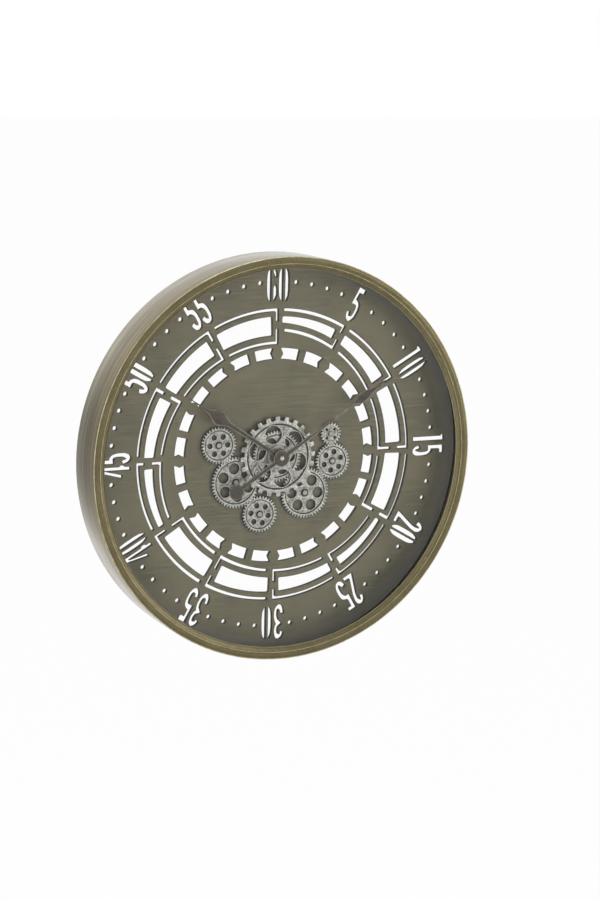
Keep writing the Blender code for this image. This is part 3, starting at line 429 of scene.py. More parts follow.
def moved(mesh, at=(0.0, 0.0), forward=0.0):
    mesh.transform(Matrix.Translation((*at, forward)))
    return mesh


def joined(*meshes):
    """One mesh of several, with its faces turned outwards."""
    work = bmesh.new()
    for mesh in meshes:
        work.from_mesh(mesh)
    bmesh.ops.remove_doubles(work, verts=work.verts, dist=0.0005)
    bmesh.ops.recalc_face_normals(work, faces=work.faces)
    whole = bpy.data.meshes.new("joined")
    work.to_mesh(whole)
    work.free()
    return whole


def cut_mesh(mesh, *cutters):
    """A mesh with others taken out of it."""
    target = new_object("target", mesh)
    tools = [new_object("cutter", cutter) for cutter in cutters]
    for tool in tools:
        difference = target.modifiers.new("cut", "BOOLEAN")
        difference.operation = "DIFFERENCE"
        difference.object = tool
    result = evaluated(target)
    for made in [target, *tools]:
        bpy.data.objects.remove(made)
    return result


def place(paint, name, mesh, slot, nodes=(), at=(0.0, 0.0), body="case", look=None,
          depth=DIAL_Y, turn=0.0):
    """Put a drawn mesh on its body, in the place of its CAD nodes.

    It has the finish of its slot, unless it takes the look of another."""
    mesh.transform(FRAME)
    mesh.name = name
    mesh.materials.clear()
    mesh.materials.append(paint[look or slot])
    mesh.shade_smooth()
    mesh.set_sharp_from_angle(angle=math.radians(SHARP_ANGLE))
    made = new_object(name, mesh)
    made.location = (at[0] * MM, depth * MM, at[1] * MM)
    made.rotation_euler.y = -math.radians(turn)
    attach(made, body)
    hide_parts(*nodes)


# Dial openings

def arc(radius_at, start, end):
    """Points on the dial between two clock angles, at a radius that may change with the angle."""
    count = 1 + max(1, round(abs(end - start) / ARC_STEP))
    angles = [start + (end - start) * i / (count - 1) for i in range(count)]
    return [on_dial(radius_at(angle), angle) for angle in angles]


def spiral(radius, sector):
    """The inner arcs of four sectors lie on one circle whose centre is off the dial's."""
    first = SECTOR * (sector - sector % 4)

    def radius_at(clock):
        return radius + SPIRAL_SHIFT * math.cos(math.radians(clock - first + SPIRAL_TURN))
    return radius_at


def window(sector):
    start = SECTOR * sector + WINDOW_START
    end = SECTOR * sector + WINDOW_END
    outline = arc(lambda clock: WINDOW_OUT_R, start, end)
    outline += arc(spiral(WINDOW_IN_R, sector), end, start)
    return rounded(outline, WINDOW_CORNER_R, 5, sharp=CUT_CORNER)


def slit(radius_at, start, line, stop_r, away):
    """Arc slit that turns along the hour line and ends at a bridge."""
    half = SLIT_W / 2
    far = arc(lambda clock: radius_at(clock) + away * half, start, line)
    near = arc(lambda clock: radius_at(clock) - away * half, start, line)
    corner_r = radius_at(line)
    far[-1] = on_dial(corner_r + away * half, line, half)
    near[-1] = on_dial(corner_r - away * half, line, -half)
    outline = far + [on_dial(stop_r, line, half), on_dial(stop_r, line, -half)] + near[::-1]
    return rounded(outline, 1.0, 3, sharp=CUT_CORNER)


def slit_pair(sector):
    line = SECTOR * sector + SLIT_LINE
    inner_at = spiral(SLIT_IN_R, sector)
    middle = (SLIT_OUT_R + inner_at(line)) / 2 + BRIDGE_RISE
    outer = slit(lambda clock: SLIT_OUT_R, SECTOR * sector + SLIT_OUT_START, line,
                 middle + BRIDGE / 2, 1)
    inner = slit(inner_at, SECTOR * sector + SLIT_IN_START, line, middle - BRIDGE / 2, -1)
    return [outer, inner]


def arrow(hour_line, way):
    """Window with a V cut into the end that faces the hour line."""
    start = hour_line + way * ARROW_START
    end = hour_line + way * ARROW_END
    notch = on_dial((ARROW_IN_R + ARROW_OUT_R) / 2, start + way * ARROW_NOTCH)
    outer = arc(lambda clock: ARROW_OUT_R, start, end)
    inner = arc(lambda clock: ARROW_IN_R, end, start)
    return rounded(outer + inner + [notch], 0.8, 2, sharp=CUT_CORNER)


def dots():
    for sector in range(SECTORS):
        for i in range(DOTS):
            clock = SECTOR * (sector + 0.5) + DOT_PITCH * (i - (DOTS - 1) / 2)
            yield circle(DOT_R, 20, on_dial(DOT_RING_R, clock))


HALF_OVAL = rounded([(-1.75, 2.7), (-1.75, 51.8), (-4.5, 51.8), (-7.6, 44.5), (-8.45, 35.5),
                     (-8.45, 18.5), (-7.6, 9.5), (-4.5, 2.7)], 9.0, 4)

# Outlines of the stencil figures, upright, with their feet on the base line
FIGURES = {
    "0": [HALF_OVAL, mirrored(HALF_OVAL)],
    "1": [[(-3.4, 0.5), (3.4, 0.5), (3.4, 53.5), (-1.0, 53.5), (-6.2, 52.3), (-6.2, 48.5),
           (-3.4, 47.5)]],
    "2": [stroke([(-5.6, 39.5), (-4.8, 46.5), (-0.8, 50.8), (3.4, 48.0), (4.6, 41.5),
                  (3.6, 33.5), (-5.0, 3.7), (8.2, 3.7)])],
    "3": [stroke([(-5.9, 42.5), (-4.6, 48.0), (-0.8, 51.0), (3.2, 48.5), (4.4, 40.5),
                  (3.0, 33.0), (-0.8, 30.0), (3.0, 26.0), (4.7, 18.5), (4.4, 9.5), (1.4, 4.3),
                  (-2.0, 3.7), (-5.0, 7.5), (-6.0, 15.0)])],
    "4": [[(-9.7, 13.5), (-5.1, 13.5), (1.8, 42.0), (1.8, 1.0), (7.0, 1.0), (7.0, 9.5),
           (9.3, 11.5), (9.3, 16.5), (7.0, 18.5), (7.0, 52.5), (0.5, 52.5)]],
    "5": [stroke([(4.6, 49.5), (-4.9, 49.5), (-4.9, 30.1), (-0.5, 30.5), (3.5, 27.3),
                  (4.9, 20.5), (4.9, 10.5), (2.5, 4.5), (-0.8, 3.4), (-4.0, 6.0),
                  (-6.3, 13.0)])],
    "6": [HALF_OVAL,
          rounded([(1.75, 2.7), (4.5, 3.5), (8.2, 11.5), (8.2, 20.5), (5.0, 30.5),
                   (1.75, 22.5)], 6.0, 4),
          rounded([(1.75, 51.8), (4.5, 51.8), (7.6, 44.5), (8.2, 38.5), (4.8, 38.5),
                   (1.75, 45.5)], 3.0, 3)],
}

# Where the middle of each figure lies beside its hour line
NUMERALS = {
    "5": [-0.3], "10": [-11.6, 6.75], "15": [-11.7, 6.8], "20": [-10.9, 8.6],
    "25": [-10.3, 8.4], "30": [-10.0, 9.2], "35": [-9.6, 9.3], "40": [-10.0, 9.9],
    "45": [-10.0, 9.6], "50": [-9.5, 9.65], "55": [-9.5, 9.0], "60": [-9.75, 9.05],
}


def numeral(text, clock):
    """Outlines of a number standing on its hour line, its top outwards."""
    for figure, middle in zip(text, NUMERALS[text]):
        for outline in FIGURES[figure]:
            yield [on_dial(FIGURE_BASE_R + v, clock, middle + u) for u, v in outline]


# Gears

# Patterns: radii of the rim, boss, lightening holes and rivets, the width of the dark groove
# inside the rim, the thickness of the bright lips, and whether the boss has a sunk floor
COARSE = {"rim_r": 49.9, "boss_r": 16.0, "hole_ring": 33.9, "hole_r": 13.6, "holes": 6,
          "first": 43.5, "rivet_ring": 39.5, "rivet_r": 1.4, "rivets": 6, "groove": 2.8,
          "lip": 1.2, "sunk": False, "at": (0.0, 0.0), "body": "center_wheel"}
MID = {"teeth": 48, "rim_r": 32.7, "boss_r": 7.4, "hole_ring": 21.2, "hole_r": 8.4, "holes": 6,
       "rivet_ring": 26.0, "rivet_r": 1.1, "rivets": 6, "groove": 1.8, "lip": 1.0,
       "sunk": True}
SMALL = {"teeth": 34, "rim_r": 22.5, "boss_r": 7.0, "hole_ring": 14.0, "hole_r": 4.3,
         "holes": 6, "rivets": 0, "groove": 1.5, "lip": 0.7, "sunk": True}
TINY = {"teeth": 20, "rim_r": 11.9, "boss_r": 5.6, "hole_ring": 8.8, "hole_r": 2.3,
        "holes": 4, "rivets": 0, "groove": 0.7, "lip": 0.4, "sunk": True}
CENTER = {**MID, "boss_r": 13.0, "rivets": 0, "sunk": False, "at": (0.0, 0.0), "phase": 0.0,
          "first": 56.0, "body": "center_wheel"}

# Each gear with its driver, its pattern, the direction from the driver to it, the angle of
# its first hole and its body
TRAIN = [
    ("mid_gear_left", "center_gear", MID, 208.9, 38.0, "mid_left_wheel"),
    ("mid_gear_right", "center_gear", MID, -51.2, 58.0, "mid_right_wheel"),
    ("small_gear_left", "mid_gear_left", SMALL, 116.0, 62.0, "small_left_wheel"),
    ("small_gear_bottom", "mid_gear_left", SMALL, -52.2, 49.5, "small_bottom_wheel"),
    ("small_gear_right", "mid_gear_right", SMALL, 45.7, 80.0, "small_right_wheel"),
    ("tiny_gear", "small_gear_right", TINY, 94.8, 47.0, "tiny_wheel"),
]


def pitch_r(teeth):
    return MODULE * teeth / 2


def gear_table():
    """Every fine gear with its place, and a phase that meshes with its driver's teeth."""
    gears = {"center_gear": CENTER}
    for name, driver_name, pattern, direction, first, body in TRAIN:
        driver = gears[driver_name]
        offset = (direction - driver["phase"]) % (360 / driver["teeth"])
        phase = (direction + 180 + offset * driver["teeth"] / pattern["teeth"]
                 + 180 / pattern["teeth"])
        distance = pitch_r(driver["teeth"]) + pitch_r(pattern["teeth"])
        gears[name] = {**pattern, "at": polar(distance, direction, driver["at"]),
                       "phase": phase, "first": first, "body": body}
    return gears


def root_r(teeth):
    """Radius where the straight flanks of two teeth meet."""
    half = math.pi * MODULE / 4 - BACKLASH / 2
    slope = (half - TIP_HALF) / MODULE
    share = math.pi / teeth
    return pitch_r(teeth) - (share * pitch_r(teeth) - half) / (slope + share)


def toothed(teeth, phase, tooth, corner_r, steps):
    """Outline of a wheel from one tooth's corners, as (radius, degrees off its middle)."""
    corners = [polar(radius, phase + 360 * i / teeth + off)
               for i in range(teeth) for radius, off in tooth]
    return rounded(corners, corner_r, steps, sharp=TOOTH_CORNER)


def gear_edge(teeth, phase):
    """Straight-flanked teeth with rounded roots and slightly rounded tips."""
    tip = pitch_r(teeth) + MODULE
    half = math.degrees(TIP_HALF / tip)
    tooth = [(root_r(teeth), -180 / teeth), (tip, -half), (tip, half)]
    return toothed(teeth, phase, tooth, 0.35, 2)


def coarse_edge():
    root = math.degrees(COARSE_ROOT_W / 2 / COARSE_ROOT_R)
    tip = math.degrees(COARSE_TIP_W / 2 / COARSE_TIP_R)
    tooth = [(COARSE_ROOT_R, -root), (COARSE_TIP_R, -tip), (COARSE_TIP_R, tip),
             (COARSE_ROOT_R, root)]
    return toothed(COARSE_TEETH, COARSE_PHASE, tooth, 1.1, 3)


def rivet_mesh(radius, at, level):
    """Flat rivet head that stands a little out of a web."""
    profile = [(0.0, level + 0.45), (radius * 0.6, level + 0.42), (radius, level + 0.15),
               (radius, level - 0.2), (0.0, level - 0.2)]
    return moved(turned(profile, 16), at)


def inlay_mesh(gear, bore_r, front):
    """Dark patina in the groove inside a rim and on the sunk floor of a boss."""
    floor = front - WEB_DROP
    groove = [circle(gear["rim_r"] + 0.1, 120), circle(gear["rim_r"] - gear["groove"], 120)]
    parts = [plate_mesh(groove, floor - 0.2, floor + 0.05)]
    if gear["sunk"]:
        boss = [circle(gear["boss_r"] - 1.1, 48), circle(bore_r + 0.05, 32)]
        parts.append(plate_mesh(boss, front - 1.2, front - 0.95))
    return joined(*parts)


def lips_mesh(gear, middles, front):
    """Raised bright lips round the lightening holes and along the inside of the rim: worn silver
    and painted highlights.
    """
    thick = gear["lip"] / 2
    hole_lip = circle(thick, 8, (gear["hole_r"] + thick, front - WEB_DROP + 0.05))
    rim_lip = circle(thick, 8, (gear["rim_r"] + thick, front + 0.15 - thick))
    return joined(turned(rim_lip, 120), *[moved(turned(hole_lip, 40), at) for at in middles])


def web_mesh(gear, middles, rivets, back, front):
    """Sunk web with its lightening holes and small rivets."""
    floor = front - WEB_DROP
    outlines = [circle(gear["rim_r"] + 0.6, 120), circle(gear["boss_r"] - 0.6, 48)]
    outlines += [circle(gear["hole_r"], 56, middle) for middle in middles]
    web = plate_mesh(outlines, back + 0.05, floor, GEAR_EDGE)
    return joined(web, *[rivet_mesh(gear["rivet_r"], at, floor) for at in rivets])


def rim_mesh(edge, gear, bore_r, back, front):
    """Toothed rim and boss of a wheel."""
    rim = plate_mesh([edge, circle(gear["rim_r"], 120)], back, front, GEAR_EDGE)
    boss_r = gear["boss_r"]
    profile = [(boss_r, back), (boss_r, front)]
    if gear["sunk"]:
        profile += [(boss_r - 0.8, front), (boss_r - 1.2, front - 1.0)]
        front -= 1.0
    profile += [(bore_r, front), (bore_r, back)]
    return joined(rim, turned(profile, 64, 0.4, 3))


# Hands

def tail_shape(inset):
    """Upper side of a bar that ends in a round disc, as (distance back, half width)."""
    half = TAIL_HALF - inset
    disc_r = TAIL_DISC_R - inset
    start = math.degrees(math.asin(half / disc_r))
    points = [(HAND_BOSS_R, half)]
    for i in range(33):
        angle = math.radians(start + (180 - start) * i / 32)
        points.append((TAIL_LEN - disc_r * math.cos(angle), disc_r * math.sin(angle)))
    return points


def below(points):
    return [(u, -v) for u, v in points]


def hand_edge(blade, has_tail, inset):
    """Outline of a hand along +u: a round boss, a leaf blade and an optional tail.

    With an inset it is that much narrower, and stops where the blade is too thin."""
    boss_r = HAND_BOSS_R - inset
    blade = [(along, half - inset) for along, half in blade if half > inset + 0.15]
    tail = tail_shape(inset) if has_tail else []
    root = math.degrees(math.asin(blade[0][1] / boss_r))
    back = math.degrees(math.asin(tail[0][1] / boss_r)) if tail else 0.0
    count = 40
    upper = [polar(boss_r, root + (180 - back - root) * i / count) for i in range(count + 1)]
    lower = below(upper[::-1])
    if not tail:
        lower.pop(0)
    inner_tail = [(-along, half) for along, half in tail[1:]]
    return (upper + inner_tail + below(inner_tail[::-1]) + lower + below(blade[1:])
            + blade[:0:-1])


def spun(points, clock):
    """Turn an outline drawn along +u to a clock angle."""
    return [on_dial(u, clock, -v) for u, v in points]


def smooth_blade(points):
    """Blade stations with the leaf's corners rounded."""
    return rounded(points, 14.0, 5, sharp=2.0, is_closed=False)


HOUR_BLADE = smooth_blade([(HAND_BOSS_R, 3.0), (100.0, 3.6), (107.0, 6.6), (112.0, 9.8),
                           (118.0, 11.3), (124.0, 9.6), (131.0, 5.8), (140.0, 2.8),
                           (152.0, 1.3), (176.0, 0.5)])
MINUTE_BLADE = smooth_blade([(HAND_BOSS_R, 3.4), (139.0, 1.2), (144.0, 4.0), (148.5, 6.8),
                             (153.5, 8.4), (161.0, 7.2), (170.0, 5.2), (181.0, 2.8),
                             (200.0, 0.5)])


# Finishes

def add(tree, kind, inputs=None, **settings):
    """New shader node; an input that is a socket is linked, any other value is set."""
    made = tree.nodes.new("ShaderNode" + kind)
    for key, value in settings.items():
        setattr(made, key, value)
    for key, value in (inputs or {}).items():
        if isinstance(value, bpy.types.NodeSocket):
            tree.links.new(value, made.inputs[key])
        else:
            made.inputs[key].default_value = value
    return made


def new_material(name):
    """A material without nodes but its coordinates."""
    made = bpy.data.materials.new(name)
    made.use_nodes = True
    tree = made.node_tree
    tree.nodes.clear()
    return made, tree, add(tree, "TexCoord")


def principled(made, inputs):
    """Close a material with its shader."""
    shader = add(made.node_tree, "BsdfPrincipled", inputs)
    add(made.node_tree, "OutputMaterial", {0: shader.outputs[0]})
    return made


def mix_colour(tree, factor, first, second):
    sides = [value if isinstance(value, bpy.types.NodeSocket) else (*value, 1.0)
             for value in (first, second)]
    return add(tree, "Mix", {0: factor, 6: sides[0], 7: sides[1]},
               data_type="RGBA").outputs[2]


def spread(tree, value, low, high, to_low=0.0, to_high=1.0):
    """Stretch part of a value's range over another range."""
    return add(tree, "MapRange", {"Value": value, "From Min": low, "From Max": high,
                                  "To Min": to_low, "To Max": to_high}).outputs[0]


def calculated(tree, operation, *values):
    return add(tree, "Math", dict(enumerate(values)), operation=operation).outputs[0]


def times(tree, first, second):
    return calculated(tree, "MULTIPLY", first, second)


def noise(tree, where, scale, detail, roughness, distortion=0.0):
    return add(tree, "TexNoise", {"Vector": where, "Scale": scale, "Detail": detail,
                                  "Roughness": roughness, "Distortion": distortion}).outputs["Fac"]


def stretched(tree, where, scale):
    return add(tree, "Mapping", {"Vector": where, "Scale": scale}).outputs[0]


def flatness(tree, coords):
    """One on a plate's faces, nothing on the walls of its edge and openings."""
    facing = add(tree, "SeparateXYZ", {0: coords.outputs["Normal"]}).outputs["Y"]
    return calculated(tree, "ABSOLUTE", facing)


def edge_mask(tree, coords):
    """One on the softened edges of a plate, nothing on its faces and walls."""
    flat = flatness(tree, coords)
    return times(tree, spread(tree, flat, 0.995, 0.88), spread(tree, flat, 0.05, 0.35))


def metal(name, base, dark, light, *, roughness, metallic, grain, grain_mix, patch, patch_mix,
          stretch=(1.0, 1.0, 1.0), bump=0.00004, edge=None, edge_mix=0.0, grime_and_shade=None,
          grime_and_shade_reach=0.003, shade_from_all_parts=False, speck=0.0, speck_scale=1400.0, coat=0.0, walls=None,
          rust=None, grain_patch=0.0, border=None):
    """Worn metal: fine grain or brushing, broad patina, grime and painted shade in corners, bright
    edges.
    """
    made, tree, coords = new_material(name)
    where = coords.outputs["Object"]
    lines = noise(tree, stretched(tree, where, stretch), grain, 4.0, 0.65)
    clouds = noise(tree, where, patch, 6.0, 0.62, 0.3)
    specks = noise(tree, where, speck_scale, 2.0, 0.7)
    colour = mix_colour(tree, spread(tree, clouds, 0.42, 0.72, 0.0, patch_mix), base, dark)
    if grain_patch:
        areas = noise(tree, where, grain_patch, 2.0, 0.5)
        grain_mix = spread(tree, areas, 0.40, 0.56, 0.15 * grain_mix, grain_mix)
    brighter = times(tree, spread(tree, lines, 0.50, 0.75), grain_mix)
    darker = times(tree, spread(tree, lines, 0.50, 0.25), grain_mix)
    colour = mix_colour(tree, brighter, colour, light)
    colour = mix_colour(tree, darker, colour, dark)
    if rust:
        stains = noise(tree, stretched(tree, where, (9.0, 9.0, 16.0)), 1.0, 7.0, 0.68, 0.6)
        colour = mix_colour(tree, spread(tree, stains, 0.56, 0.72, 0.0, 0.6), colour, rust)
    if speck:
        colour = mix_colour(tree, spread(tree, specks, 0.52, 0.66, 0.0, speck), colour, dark)
    # Painted shade with grime: ambient occlusion darkens corners and creases, and with all parts
    # counted, the ground round other parts.
    if grime_and_shade:
        shade = add(tree, "AmbientOcclusion", {"Distance": grime_and_shade_reach},
                    samples=6, only_local=not shade_from_all_parts).outputs["AO"]
        colour = mix_colour(tree, spread(tree, shade, 0.97, 0.6, 0.0, 0.95), colour, grime_and_shade)
    # Painted light: the dial turns paler and greyer towards its rim, lifting the shade under the
    # bezel.
    if border:
        from_middle = add(tree, "VectorMath",
                          {0: stretched(tree, where, (1.0, 0.0, 1.0))}, operation="LENGTH")
        painted_rim_light = spread(tree, from_middle.outputs["Value"], *RIM_LIGHT_REACH, 0.0, 0.85)
        colour = mix_colour(tree, painted_rim_light, colour, border)
    if edge:
        worn = times(tree, edge_mask(tree, coords), edge_mix)
        colour = mix_colour(tree, worn, colour, edge)
    rough = spread(tree, clouds, 0.3, 0.7, roughness - 0.06, roughness + 0.08)
    # Painted light and shade on the walls of cuts and holes: mostly darker, paler on the bezel's
    # inner wall so it lights the dial.
    if walls:
        cut = spread(tree, flatness(tree, coords), 0.6, 0.3)
        colour = mix_colour(tree, cut, colour, walls)
        rough = spread(tree, cut, 0.0, 1.0, roughness, 0.9)
        metallic = spread(tree, cut, 0.0, 1.0, metallic, 0.0)
    height = calculated(tree, "ADD", lines, specks)
    surface = add(tree, "Bump", {"Height": height, "Distance": bump, "Strength": 0.6}).outputs[0]
    return principled(made, {"Base Color": colour, "Roughness": rough, "Metallic": metallic,
                             "Normal": surface, "Coat Weight": coat, "Coat Roughness": 0.2})


def plastic(name, base, light, roughness):
    """Moulded plastic with a fine spark texture and faint scuffs."""
    made, tree, coords = new_material(name)
    where = coords.outputs["Object"]
    sparks = noise(tree, where, 1800.0, 2.0, 0.6)
    scuffs = noise(tree, stretched(tree, where, (60.0, 60.0, 420.0)), 1.0, 5.0, 0.7)
    colour = mix_colour(tree, spread(tree, scuffs, 0.52, 0.78, 0.0, 0.35), base, light)
    colour = mix_colour(tree, times(tree, edge_mask(tree, coords), 0.5), colour, light)
    rough = spread(tree, scuffs, 0.3, 0.7, roughness + 0.08, roughness - 0.08)
    surface = add(tree, "Bump", {"Height": sparks, "Distance": 0.00003,
                                 "Strength": 0.5}).outputs[0]
    return principled(made, {"Base Color": colour, "Roughness": rough, "Normal": surface})


def glass(name):
    """Thin clear pane: it lets the light through and shows only a faint sheen and dust."""
    made, tree, coords = new_material(name)
    where = coords.outputs["Object"]
    dust = noise(tree, where, 300.0, 3.0, 0.6)
    rough = spread(tree, dust, 0.3, 0.7, 0.03, 0.08)
    cover = spread(tree, dust, 0.55, 0.8, 0.012, 0.03)
    return principled(made, {"Base Color": (0.93, 0.96, 0.95, 1.0), "Roughness": rough,
                             "Alpha": cover})


def jacket(name, half_length):
    """Battery sleeve: dark with a band of copper colour at the end with the nub."""
    made, tree, coords = new_material(name)
    where = coords.outputs["Object"]
    scuffs = noise(tree, stretched(tree, where, (300.0, 300.0, 60.0)), 1.0, 4.0, 0.7)
    along = add(tree, "SeparateXYZ", {0: where}).outputs["X"]
    band = spread(tree, along, half_length * 0.45, half_length * 0.47)
    colour = mix_colour(tree, band, (0.030, 0.032, 0.036), (0.42, 0.21, 0.09))
    colour = mix_colour(tree, spread(tree, scuffs, 0.55, 0.75, 0.0, 0.3), colour,
                        (0.30, 0.30, 0.30))
    rough = spread(tree, scuffs, 0.3, 0.7, 0.24, 0.42)
    return principled(made, {"Base Color": colour, "Roughness": rough, "Metallic": 0.35})


def finishes():
    """The finish of every slot, and the looks of beads and lips with painted highlights, and of
    webs, grooves and borders.
    """
    return {
        "brushed_bronze": metal(
            "bronze_band", (0.212, 0.168, 0.072), (0.096, 0.071, 0.028), (0.41, 0.36, 0.20),
            roughness=0.22, metallic=0.95, grain=1.0, stretch=(3.0, 170.0, 3.0), grain_mix=1.0,
            patch=7.0, patch_mix=0.6, bump=0.00001, coat=0.55),
        # Bezel: painted shade with grime in its corners; its inner wall is painted paler, as light
        # for the dial.
        "gilt_bronze": metal(
            "gilt_ring", (0.188, 0.160, 0.082), (0.095, 0.079, 0.038), (0.37, 0.33, 0.20),
            roughness=0.30, metallic=0.9, grain=420.0, grain_mix=0.4, patch=30.0, patch_mix=0.5,
            speck=0.5, speck_scale=900.0, grime_and_shade=(0.05, 0.042, 0.025), grime_and_shade_reach=0.002,
            walls=(0.30, 0.27, 0.19)),
        # Bright bezel beads: polished wear, and painted highlight lines.
        "polish_and_highlight": metal(
            "worn_highlight_bead", (0.60, 0.54, 0.36), (0.26, 0.22, 0.125), (0.86, 0.80, 0.62),
            roughness=0.28, metallic=0.8, grain=120.0, grain_mix=0.6, patch=35.0, patch_mix=0.75),
        # Dial: painted shade round gears, posts and wall and on the walls of its openings; paler
        # painted light at its rim.
        "dial_bronze": metal(
            "brushed_dial", (0.191, 0.171, 0.111), (0.099, 0.103, 0.065), (0.287, 0.257, 0.169),
            roughness=0.50, metallic=0.5, grain=1.0, stretch=(16.0, 300.0, 330.0), grain_mix=0.65,
            grain_patch=9.0, patch=9.0, patch_mix=0.8, edge=(0.12, 0.11, 0.085), edge_mix=0.7,
            speck=0.2, walls=(0.055, 0.052, 0.042), grime_and_shade=(0.088, 0.089, 0.079), grime_and_shade_reach=0.007,
            shade_from_all_parts=True, rust=(0.185, 0.142, 0.094), border=(0.33, 0.325, 0.30)),
        # Wheels: painted shade with grime in their corners, and painted shade on the walls of
        # their holes and teeth.
        "antique_silver": metal(
            "antique_silver", (0.58, 0.58, 0.51), (0.14, 0.14, 0.115), (0.90, 0.89, 0.83),
            roughness=0.36, metallic=0.75, grain=300.0, grain_mix=0.75, patch=130.0,
            patch_mix=0.9, edge=(0.85, 0.84, 0.77), edge_mix=0.9, grime_and_shade=(0.05, 0.05, 0.04),
            grime_and_shade_reach=0.0025, speck=0.5, speck_scale=600.0, walls=(0.09, 0.09, 0.075)),
        # Webs: painted shade with grime in their corners, and painted shade on the walls of their
        # holes.
        "web": metal(
            "web_silver", (0.50, 0.50, 0.435), (0.10, 0.10, 0.08), (0.86, 0.85, 0.79),
            roughness=0.38, metallic=0.75, grain=260.0, grain_mix=0.8, patch=100.0,
            patch_mix=0.95, edge=(0.70, 0.69, 0.63), edge_mix=0.9, grime_and_shade=(0.04, 0.04, 0.033),
            grime_and_shade_reach=0.0025, speck=0.6, speck_scale=550.0, walls=(0.05, 0.05, 0.04)),
        "patina": metal(
            "dark_patina", (0.045, 0.046, 0.038), (0.022, 0.023, 0.018), (0.12, 0.12, 0.10),
            roughness=0.5, metallic=0.4, grain=300.0, grain_mix=0.5, patch=120.0, patch_mix=0.6),
        # Bright wheel lips: worn silver that also paints highlights on raised edges.
        "worn": metal(
            "worn_highlight_silver", (0.74, 0.73, 0.67), (0.30, 0.30, 0.26), (0.92, 0.91, 0.86),
            roughness=0.28, metallic=0.7, grain=300.0, grain_mix=0.6, patch=150.0, patch_mix=0.8),
        "rim": metal(
            "hand_border", (0.40, 0.34, 0.27), (0.12, 0.10, 0.08), (0.66, 0.62, 0.53),
            roughness=0.35, metallic=0.6, grain=110.0, grain_mix=0.8, patch=45.0, patch_mix=0.8),
        # Painted shade with grime in its corners.
        "pale_brass": metal(
            "pale_brass", (0.46, 0.44, 0.36), (0.22, 0.21, 0.16), (0.72, 0.69, 0.58),
            roughness=0.32, metallic=0.75, grain=500.0, grain_mix=0.5, patch=220.0, patch_mix=0.5,
            grime_and_shade=(0.06, 0.06, 0.045)),
        "cap_nickel": metal(
            "cap_nickel", (0.64, 0.63, 0.53), (0.42, 0.40, 0.32), (0.90, 0.88, 0.78),
            roughness=0.26, metallic=0.7, grain=700.0, grain_mix=0.35, patch=160.0,
            patch_mix=0.3),
        # Hands: painted shade on the walls of their edges.
        "dark_bronze": metal(
            "dark_bronze", (0.078, 0.070, 0.055), (0.045, 0.040, 0.032), (0.14, 0.125, 0.10),
            roughness=0.42, metallic=0.65, grain=1.0, stretch=(160.0, 500.0, 160.0),
            grain_mix=0.5, patch=60.0, patch_mix=0.5, edge=(0.30, 0.22, 0.155), edge_mix=0.85,
            walls=(0.035, 0.028, 0.022)),
        "plain_steel": metal(
            "plain_steel", (0.50, 0.50, 0.49), (0.30, 0.30, 0.29), (0.68, 0.68, 0.67),
            roughness=0.34, metallic=0.9, grain=1.0, stretch=(60.0, 900.0, 900.0), grain_mix=0.35,
            patch=70.0, patch_mix=0.35, edge=(0.75, 0.75, 0.74), edge_mix=0.6),
        # Painted shade with grime in its corners.
        "zinc_plate": metal(
            "zinc_plate", (0.58, 0.59, 0.58), (0.38, 0.39, 0.38), (0.76, 0.77, 0.76),
            roughness=0.30, metallic=0.9, grain=900.0, grain_mix=0.3, patch=120.0, patch_mix=0.35,
            grime_and_shade=(0.12, 0.12, 0.11)),
        "black_plastic": plastic(
            "black_plastic", (0.022, 0.022, 0.023), (0.075, 0.075, 0.078), 0.46),
        "black_rubber": plastic("black_rubber", (0.014, 0.014, 0.014), (0.04, 0.04, 0.04), 0.72),
        "grey_plastic": plastic("grey_plastic", (0.19, 0.19, 0.195), (0.34, 0.34, 0.35), 0.42),
        "clear_glass": glass("clear_glass"),
        "cell_jacket": jacket("cell_jacket", CELL_LEN / 2 * MM),
    }


# Pieces

def dress_case(paint):
    inner = CASE_R - BAND_T
    under = FRONT - SHEET_T
    band_front = under - GAP
    band = [(CASE_R, band_front), (CASE_R, BACK), (CASE_R - HEM_W, BACK),
            (CASE_R - HEM_W, BACK + BAND_T), (inner, BACK + BAND_T), (inner, band_front)]
    place(paint, "case_shell", turned(band, TURN_STEPS, 0.5, 3), "brushed_bronze", ["case_band"])

    skirt_out = inner - GAP
    skirt_in = skirt_out - SHEET_T
    lip_front = FRONT - LIP_DROP
    slope = [(LIP_R, LIP_DROP), (LIP_R + 0.5, 4.0), (LIP_R + 2.2, 2.6), (LIP_R + 4.6, 1.6),
             (RIDGE_R - 0.6, 1.2), (RIDGE_R + 1.6, 1.1), ((RIDGE_R + CASE_R) / 2, 0.6),
             (CASE_R - 1.8, 0.9)]
    ring = [(CASE_R, FRONT - 0.7), (CASE_R, under), (skirt_out, under),
            (skirt_out, under - SKIRT_LEN), (skirt_in, under - SKIRT_LEN),
            (skirt_in, under - RIDGE_DROP), (LIP_R, lip_front - SHEET_T)]
    ring += [(radius, FRONT - drop) for radius, drop in slope]
    place(paint, "bezel_ring", turned(ring, TURN_STEPS, 0.6, 3), "gilt_bronze", ["front_bezel"])
    for name, (bead_r, drop, thick) in HIGHLIGHT_BEADS.items():
        bead = turned(circle(thick, 12, (bead_r, FRONT - drop)), TURN_STEPS)
        place(paint, name, bead, "gilt_bronze", look="polish_and_highlight")

    glass_front = lip_front - SHEET_T - GAP
    glass_back = glass_front - GLASS_T
    pane = stepped([(skirt_in - 2 * GAP, glass_front)], glass_back)
    place(paint, "glass_pane", turned(pane, TURN_STEPS, 0.4, 3), "clear_glass", ["cover_glass"])


